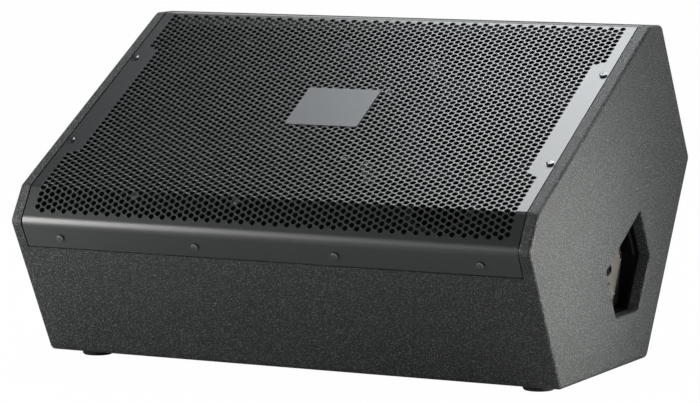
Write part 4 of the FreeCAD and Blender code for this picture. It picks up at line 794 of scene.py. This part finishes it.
def crated_group():
    """Slabs of foam grown from flat faces, whose far side is moulded in crests like an egg crate."""
    root, thickness, crest, pitch = node_group("crated_foam", ("Thickness", "Crest", "Pitch"))
    flat = root.node("GeometryNodeSubdivideMesh", inputs={"Mesh": root, "Level": 6})
    back = root.node("GeometryNodeStoreNamedAttribute", {"data_type": "FLOAT_VECTOR", "domain": "POINT"},
                     {"Geometry": flat, "Name": "facing", "Value": root.node("GeometryNodeInputNormal")})
    slab = root.node("GeometryNodeExtrudeMesh", {"mode": "FACES"},
                     {"Mesh": back, "Offset Scale": thickness, "Individual": False})
    facing = root.attribute("facing")
    place = root.node("GeometryNodeInputPosition")
    along = root.vector_math("CROSS_PRODUCT", facing, ACROSS)
    along = root.vector_math("DOT_PRODUCT", place, along, output="Value")
    turns = root.math("DIVIDE", math.tau, pitch)
    wave = root.math("SINE", place.axes() * turns) * root.math("SINE", along * turns)
    drop = (0.5 - wave * 0.5) * crest
    slab = slab.pushed(facing.scaled(-drop), Selection=slab.out("Top"))
    return slab.joined(back.flipped()).welded().passed_out(root)


def slab_backs(node):
    """Each slab's widest outward face, turned to look into the slab, and the slabs' thickness."""
    mesh = merged(node)
    bmesh.ops.dissolve_limit(mesh, angle_limit=math.radians(1.0), verts=mesh.verts, edges=mesh.edges)
    middle = sum((vert.co for vert in mesh.verts), Vector()) / len(mesh.verts)
    wide = sorted(mesh.faces, key=lambda face: face.calc_area())[-2 * len(islands(mesh)):]
    outer = [face for face in wide if face.normal.dot(face.calc_center_median() - middle) > 0.0]
    points = [vert.co.copy() for face in outer for vert in reversed(face.verts)]
    thickness = min(edge.calc_length() for edge in mesh.edges)
    mesh.free()
    seed = bpy.data.meshes.new(node)
    seed.from_pydata(points, [], [range(start, start + 4) for start in range(0, len(points), 4)])
    return seed, thickness


# ---------------------------------------------------------------- settings
def length(name, description, millimetres):
    """A size property, given in millimetres and kept in metres."""
    return FloatProperty(name=name, description=description, default=millimetres * MM, min=0.0,
                         unit="LENGTH", precision=5)


def colour(name, description, default):
    """A linear colour property."""
    return FloatVectorProperty(name=name, description=description, default=default, size=3,
                               subtype="COLOR", min=0.0, max=1.0)


class WedgeFinishSettings(bpy.types.PropertyGroup):
    """Colours of what shows from outside."""

    paint_colour: colour("Cabinet paint", "Colour of the spattered cabinet paint", (0.028, 0.032, 0.0315))
    grille_colour: colour("Grille", "Colour of the grille's powder coat", (0.016, 0.018, 0.019))
    badge_colour: colour("Badge", "Colour of the bare badge plate", (0.135, 0.14, 0.146))
    plate_colour: colour("Connector plate", "Colour of the plates in the recesses", (0.18, 0.168, 0.155))
    eased_edge: length("Eased edge", "Width of the rounding on the side panels' sharp edges", 1.2)
    floor_colour: colour("Floor", "Colour of the studio's floor", (0.5, 0.5, 0.5))


class WedgeGrilleSettings(bpy.types.PropertyGroup):
    """Sizes of the perforated sheet."""

    thickness: length("Sheet", "Thickness of the sheet", 1.5)
    hole: length("Hole", "Diameter of a hole", 7.1)
    rim: length("Rolled rim", "Rounding of a hole's outer rim", 0.42)
    row_pitch: length("Row pitch", "From one hole to the next down a column", 8.73)
    column_pitch: length("Column pitch", "From one column of holes to the next", 7.686)
    columns: IntProperty(name="Columns", description="Columns of holes across the sheet", default=83, min=4)
    rows: IntProperty(name="Rows", description="Holes in each column", default=48, min=4)
    start: length("Start", "From the top flange's rear edge to the first holes' upper limit", 28.3)
    solid_columns: IntProperty(name="Solid columns", description="Columns left unpunched beside the screws",
                               default=2, min=0)
    solid_start: length("Solid start", "Where the unpunched part beside the screws starts", 109.0)
    solid_end: length("Solid end", "Where the unpunched part beside the screws ends", 340.5)
    bend: length("Bend", "Outer radius of the bend into the top flange", 9.6)
    kink: length("Kink", "Outer radius of the bend from the face into the band", 5.6)
    nose: length("Nose", "Outer radius of the bend from the band into the front flange", 15.0)
    bend_step: length("Bend step", "Length of one facet where the plain sheet bends", 0.8)


class WedgeScrewSettings(bpy.types.PropertyGroup):
    """Sizes of the screws that show."""

    head: length("Head", "Diameter of a screw's head", 9.4)
    cap: length("Head height", "Height of a screw's head", 1.5)
    shank: length("Shank", "Diameter of a screw's shank", 4.0)
    reach: length("Shank length", "Length of a screw's shank", 13.0)


class WedgeFoamSettings(bpy.types.PropertyGroup):
    """Sizes of the foam pieces."""

    waist: FloatProperty(name="Waist", description="Share by which a button narrows in the middle",
                         default=0.06, min=0.0, max=0.3)
    crest: length("Crest", "Height of the lining's crests", 11.0)
    pitch: length("Pitch", "From one crest of the lining to the next", 46.0)


class WedgeStageSettings(bpy.types.PropertyGroup):
    """Camera and lamps."""

    azimuth: FloatProperty(name="Camera azimuth", description="Turn of the camera about the wedge",
                           default=math.radians(26.615), subtype="ANGLE")
    elevation: FloatProperty(name="Camera elevation", description="Height of the camera as an angle",
                             default=math.radians(6.504), subtype="ANGLE")
    lens: FloatProperty(name="Lens", description="Focal length on a 36 mm sensor", default=175.4,
                        subtype="DISTANCE_CAMERA")
    lamps: FloatProperty(name="Lamps", description="Strength of all the lamps", default=1.0, min=0.0)


# ---------------------------------------------------------------- operators
class WEDGE_OT_finishes(bpy.types.Operator):
    """Gives every carried-over CAD piece the finish of its material slot"""

    bl_idname = "wedge.finishes"
    bl_label = "Finishes"

    def execute(self, context):
        FINISHES.update(make_finishes(context.scene.wedge_finish))
        slots = {part["node"]: part["material_slot"] for part in FRAME["record"]["subparts"]}
        for node, piece in FRAME["nodes"].items():
            piece.data.materials.clear()
            piece.data.materials.append(FINISHES[slots[node]])
        return {"FINISHED"}


class WEDGE_OT_edges(bpy.types.Operator):
    """Eases the sharp edges of the two side panels, as paint does"""

    bl_idname = "wedge.edges"
    bl_label = "Eased edges"

    def execute(self, context):
        for node in ("side_panel_left", "side_panel_right"):
            piece = FRAME["nodes"][node]
            joined = piece.modifiers.new("joined", "WELD")
            joined.merge_threshold = WELD
            eased = piece.modifiers.new("eased", "BEVEL")
            eased.width = context.scene.wedge_finish.eased_edge
            eased.segments = 3
            eased.limit_method = "ANGLE"
            eased.angle_limit = math.radians(40.0)
            eased.harden_normals = True
        return {"FINISHED"}


class WEDGE_OT_grille(bpy.types.Operator):
    """Makes the bent perforated grille in slices that meet between two columns of holes"""

    bl_idname = "wedge.grille"
    bl_label = "Perforated grille"

    def execute(self, context):
        sizes = context.scene.wedge_grille
        path, side = sheet_path()
        steps = [later - earlier for earlier, later in zip(path, path[1:])]
        run = sum(step.length for step in steps)
        bends = (sizes.bend, sizes.kink, sizes.nose)
        for radius, before, after in zip(bends, steps, steps[1:]):
            turn = before.angle(after)
            run -= radius * (2.0 * math.tan(turn / 2.0) - turn)
        firsts = [sizes.columns * index // GRILLE_SLICES for index in range(GRILLE_SLICES + 1)]
        seams = [(first - sizes.columns / 2) * sizes.column_pitch for first in firsts[1:-1]]
        cuts = [-side, *seams, side]
        group = perforated_group()
        for index, (left, right) in enumerate(zip(cuts, cuts[1:])):
            name = f"grille_slice_{index + 1}"
            first = firsts[index]
            seed = wire_mesh(name, path, True)
            seed.attributes.new("bend", "FLOAT", "POINT").data.foreach_set("value", (0.0, *bends, 0.0))
            piece = grown(name, seed, group, {
                "Thickness": sizes.thickness, "Hole Diameter": sizes.hole, "Rolled Rim": sizes.rim,
                "Row Pitch": sizes.row_pitch, "Column Pitch": sizes.column_pitch,
                "Columns": firsts[index + 1] - first, "First Column": first, "Rows": sizes.rows,
                "Lattice Edge": -sizes.columns * sizes.column_pitch / 2, "Start": sizes.start, "Length": run,
                "Left": left, "Right": right,
                "Solid Columns From": (sizes.columns / 2 - sizes.solid_columns) * sizes.column_pitch,
                "Solid Start": sizes.solid_start, "Solid End": sizes.solid_end,
                "Bend Step": sizes.bend_step, "Finish": FINISHES["grille_steel"],
            })
            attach(piece, "cabinet")
            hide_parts("grille")
        return {"FINISHED"}


class WEDGE_OT_screws(bpy.types.Operator):
    """Makes the cross-head screws of the grille and the feet"""

    bl_idname = "wedge.screws"
    bl_label = "Screws"

    def execute(self, context):
        sizes = context.scene.wedge_screws
        path, _ = sheet_path()
        group = screw_group()
        shape = {"Head Diameter": sizes.head, "Head Height": sizes.cap,
                 "Shank Diameter": sizes.shank, "Shank Length": sizes.reach}
        in_grille = {"grille_flange_screws": [outwards_of(path[-2:])],
                     "grille_side_screws": [outwards_of(longest(path))]}
        make_screws("grille_screw_set", in_grille, "screw_black", shape, group)
        under_feet = {"foot_screws": [Vector((0.0, 0.0, -1.0))]}
        make_screws("foot_screw_set", under_feet, "screw_bright", shape, group)
        return {"FINISHED"}


class WEDGE_OT_foam(bpy.types.Operator):
    """Makes the buttons behind the grille and the crated lining of the cabinet"""

    bl_idname = "wedge.foam"
    bl_label = "Foam"

    def execute(self, context):
        sizes = context.scene.wedge_foam
        path, _ = sheet_path()
        outwards = outwards_of(longest(path))
        mesh = merged("grille_bumpers")
        solid = islands(mesh)[0]
        mesh.free()
        reach = [point.dot(outwards) for point in solid]
        across = [point.x for point in solid]
        buttons = facing_points("foam_button_set", {"grille_bumpers": [outwards]})
        made = {
            "grille_bumpers": grown("foam_button_set", buttons, button_group(), {
                "Diameter": max(across) - min(across), "Height": max(reach) - min(reach),
                "Waist": sizes.waist, "Finish": FINISHES["bumper_foam"]}),
        }
        seed, thickness = slab_backs("lining_foam")
        made["lining_foam"] = grown("crated_lining", seed, crated_group(), {
            "Thickness": thickness, "Crest": sizes.crest, "Pitch": sizes.pitch, "Finish": FINISHES["foam"]})
        for (node, piece), slot in zip(made.items(), ("bumper_foam", "foam")):
            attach(piece, "cabinet")
            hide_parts(node)
        return {"FINISHED"}


class WEDGE_OT_stage(bpy.types.Operator):
    """Sets the floor, the white surroundings, the soft lamps and the camera"""

    bl_idname = "wedge.stage"
    bl_label = "Stage"

    def execute(self, context):
        settings = context.scene.wedge_stage
        self.floor(context)
        self.world(context)
        low, high = CAD_BOX
        middle = (low + high) / 2
        corner = Vector((high.x, low.y / 2, middle.z * 0.7))
        for name, place, target, size, radiance, hue, spread in (
            ("key_softbox", (-0.13, 0.95, 2.3), middle, (1.7, 1.3), 6.7, (0.95, 0.98, 1.0), 180.0),
            ("side_softbox", (0.95, 0.02, 0.16), corner, (0.3, 0.3), 5.3, (1.0, 0.99, 0.95), 66.0),
            ("front_softbox", (-1.15, -1.15, 0.44), middle, (0.6, 0.86), 13.5, (1.0, 0.99, 0.97), 180.0),
        ):
            lamp = bpy.data.lights.new(name, "AREA")
            lamp.shape = "RECTANGLE"
            lamp.size, lamp.size_y = size
            lamp.energy = radiance * math.pi * size[0] * size[1] * settings.lamps
            lamp.color = hue
            lamp.spread = math.radians(spread)
            holder = bpy.data.objects.new(name, lamp)
            holder.visible_camera = False
            holder.location = place
            holder.rotation_euler = (target - Vector(place)).to_track_quat("-Z", "Y").to_euler()
            context.scene.collection.objects.link(holder)
        self.camera(context, settings)
        context.scene.view_settings.view_transform = "Standard"
        return {"FINISHED"}

    def floor(self, context):
        """A pale floor, almost white to the camera and, in its far part, in mirror images."""
        mesh = bpy.data.meshes.new("floor")
        corners = [(x * FLOOR_REACH, y * FLOOR_REACH, 0.0) for x, y in ((-1, -1), (1, -1), (1, 1), (-1, 1))]
        mesh.from_pydata(corners, [], [(0, 1, 2, 3)])
        paint = bpy.data.materials.new("studio_floor")
        root = emptied(paint)
        pale = tint(context.scene.wedge_finish.floor_colour)
        matt = root.node("ShaderNodeBsdfDiffuse", inputs={"Color": pale})
        white = root.node("ShaderNodeEmission", inputs={"Color": WHITE, "Strength": 1.0})
        rays = root.node("ShaderNodeLightPath", output="Is Camera Ray")
        far = root.vector_math("LENGTH", place_on(root), output="Value").between(*FLOOR_FADE)
        mirrored = root.math("MAXIMUM", rays.out("Is Glossy Ray"), rays.out("Is Transmission Ray")) * far
        share = root.math("MAXIMUM", rays, mirrored) * FLOOR_WHITE
        mixed = root.node("ShaderNodeMixShader", inputs={0: share, 1: matt, 2: white})
        root.node("ShaderNodeOutputMaterial", inputs={"Surface": mixed})
        mesh.materials.append(paint)
        floor = bpy.data.objects.new("floor", mesh)
        context.scene.collection.objects.link(floor)

    def world(self, context):
        """White where it is seen or mirrored, but for a darker ceiling, and a plain grey light otherwise."""
        world = bpy.data.worlds.new("surroundings")
        root = emptied(world)
        rays = root.node("ShaderNodeLightPath", output="Is Camera Ray")
        glossy = rays.out("Is Glossy Ray")
        high = root.node("ShaderNodeTexCoord", output="Generated").axes().out("Z").between(*CEILING_RISE)
        seen = root.math("MAXIMUM", rays, rays.out("Is Transmission Ray"))
        white = root.math("MAXIMUM", seen, glossy * (1.0 - high)) * (1.0 - PLAIN_LIGHT)
        strength = white + PLAIN_LIGHT - glossy * high * CEILING_LOSS
        light = root.node("ShaderNodeBackground", inputs={"Color": WHITE, "Strength": strength})
        root.node("ShaderNodeOutputWorld", inputs={"Surface": light})
        context.scene.world = world

    def camera(self, context, settings):
        """A long lens at the front right, a little above the wedge."""
        data = bpy.data.cameras.new("camera")
        data.sensor_width = 36.0
        data.lens = settings.lens
        data.clip_end = 60.0
        camera = bpy.data.objects.new("camera", data)
        camera.location = CAMERA_PLACE
        camera.rotation_euler = (math.pi / 2 - settings.elevation, CAMERA_ROLL, settings.azimuth)
        context.scene.collection.objects.link(camera)
        context.scene.camera = camera


class WEDGE_PT_panel(bpy.types.Panel):
    """Lists what builds the wedge and the settings it takes"""

    bl_idname = "WEDGE_PT_panel"
    bl_label = "Stage monitor wedge"
    bl_space_type = "VIEW_3D"
    bl_region_type = "UI"
    bl_category = "Wedge"

    def draw(self, context):
        for operator, group in STEPS:
            box = self.layout.box()
            box.operator(operator.bl_idname)
            if group:
                settings = getattr(context.scene, group)
                for name in settings.bl_rna.properties.keys():
                    if name not in ("rna_type", "name"):
                        box.prop(settings, name)


STEPS = (
    (WEDGE_OT_finishes, "wedge_finish"),
    (WEDGE_OT_edges, None),
    (WEDGE_OT_grille, "wedge_grille"),
    (WEDGE_OT_screws, "wedge_screws"),
    (WEDGE_OT_foam, "wedge_foam"),
    (WEDGE_OT_stage, "wedge_stage"),
)
SETTINGS = {
    "wedge_finish": WedgeFinishSettings,
    "wedge_grille": WedgeGrilleSettings,
    "wedge_screws": WedgeScrewSettings,
    "wedge_foam": WedgeFoamSettings,
    "wedge_stage": WedgeStageSettings,
}


def register():
    for kind in (*SETTINGS.values(), *(operator for operator, _ in STEPS), WEDGE_PT_panel):
        bpy.utils.register_class(kind)
    for name, kind in SETTINGS.items():
        setattr(bpy.types.Scene, name, PointerProperty(type=kind))


def unregister():
    for name in SETTINGS:
        delattr(bpy.types.Scene, name)
    for kind in (WEDGE_PT_panel, *(operator for operator, _ in STEPS), *SETTINGS.values()):
        bpy.utils.unregister_class(kind)


def main():
    """Registers the add-on and builds the whole scene."""
    register()
    for operator, _ in STEPS:
        family, name = operator.bl_idname.split(".")
        getattr(getattr(bpy.ops, family), name)()


if __name__ == "__main__":
    main()
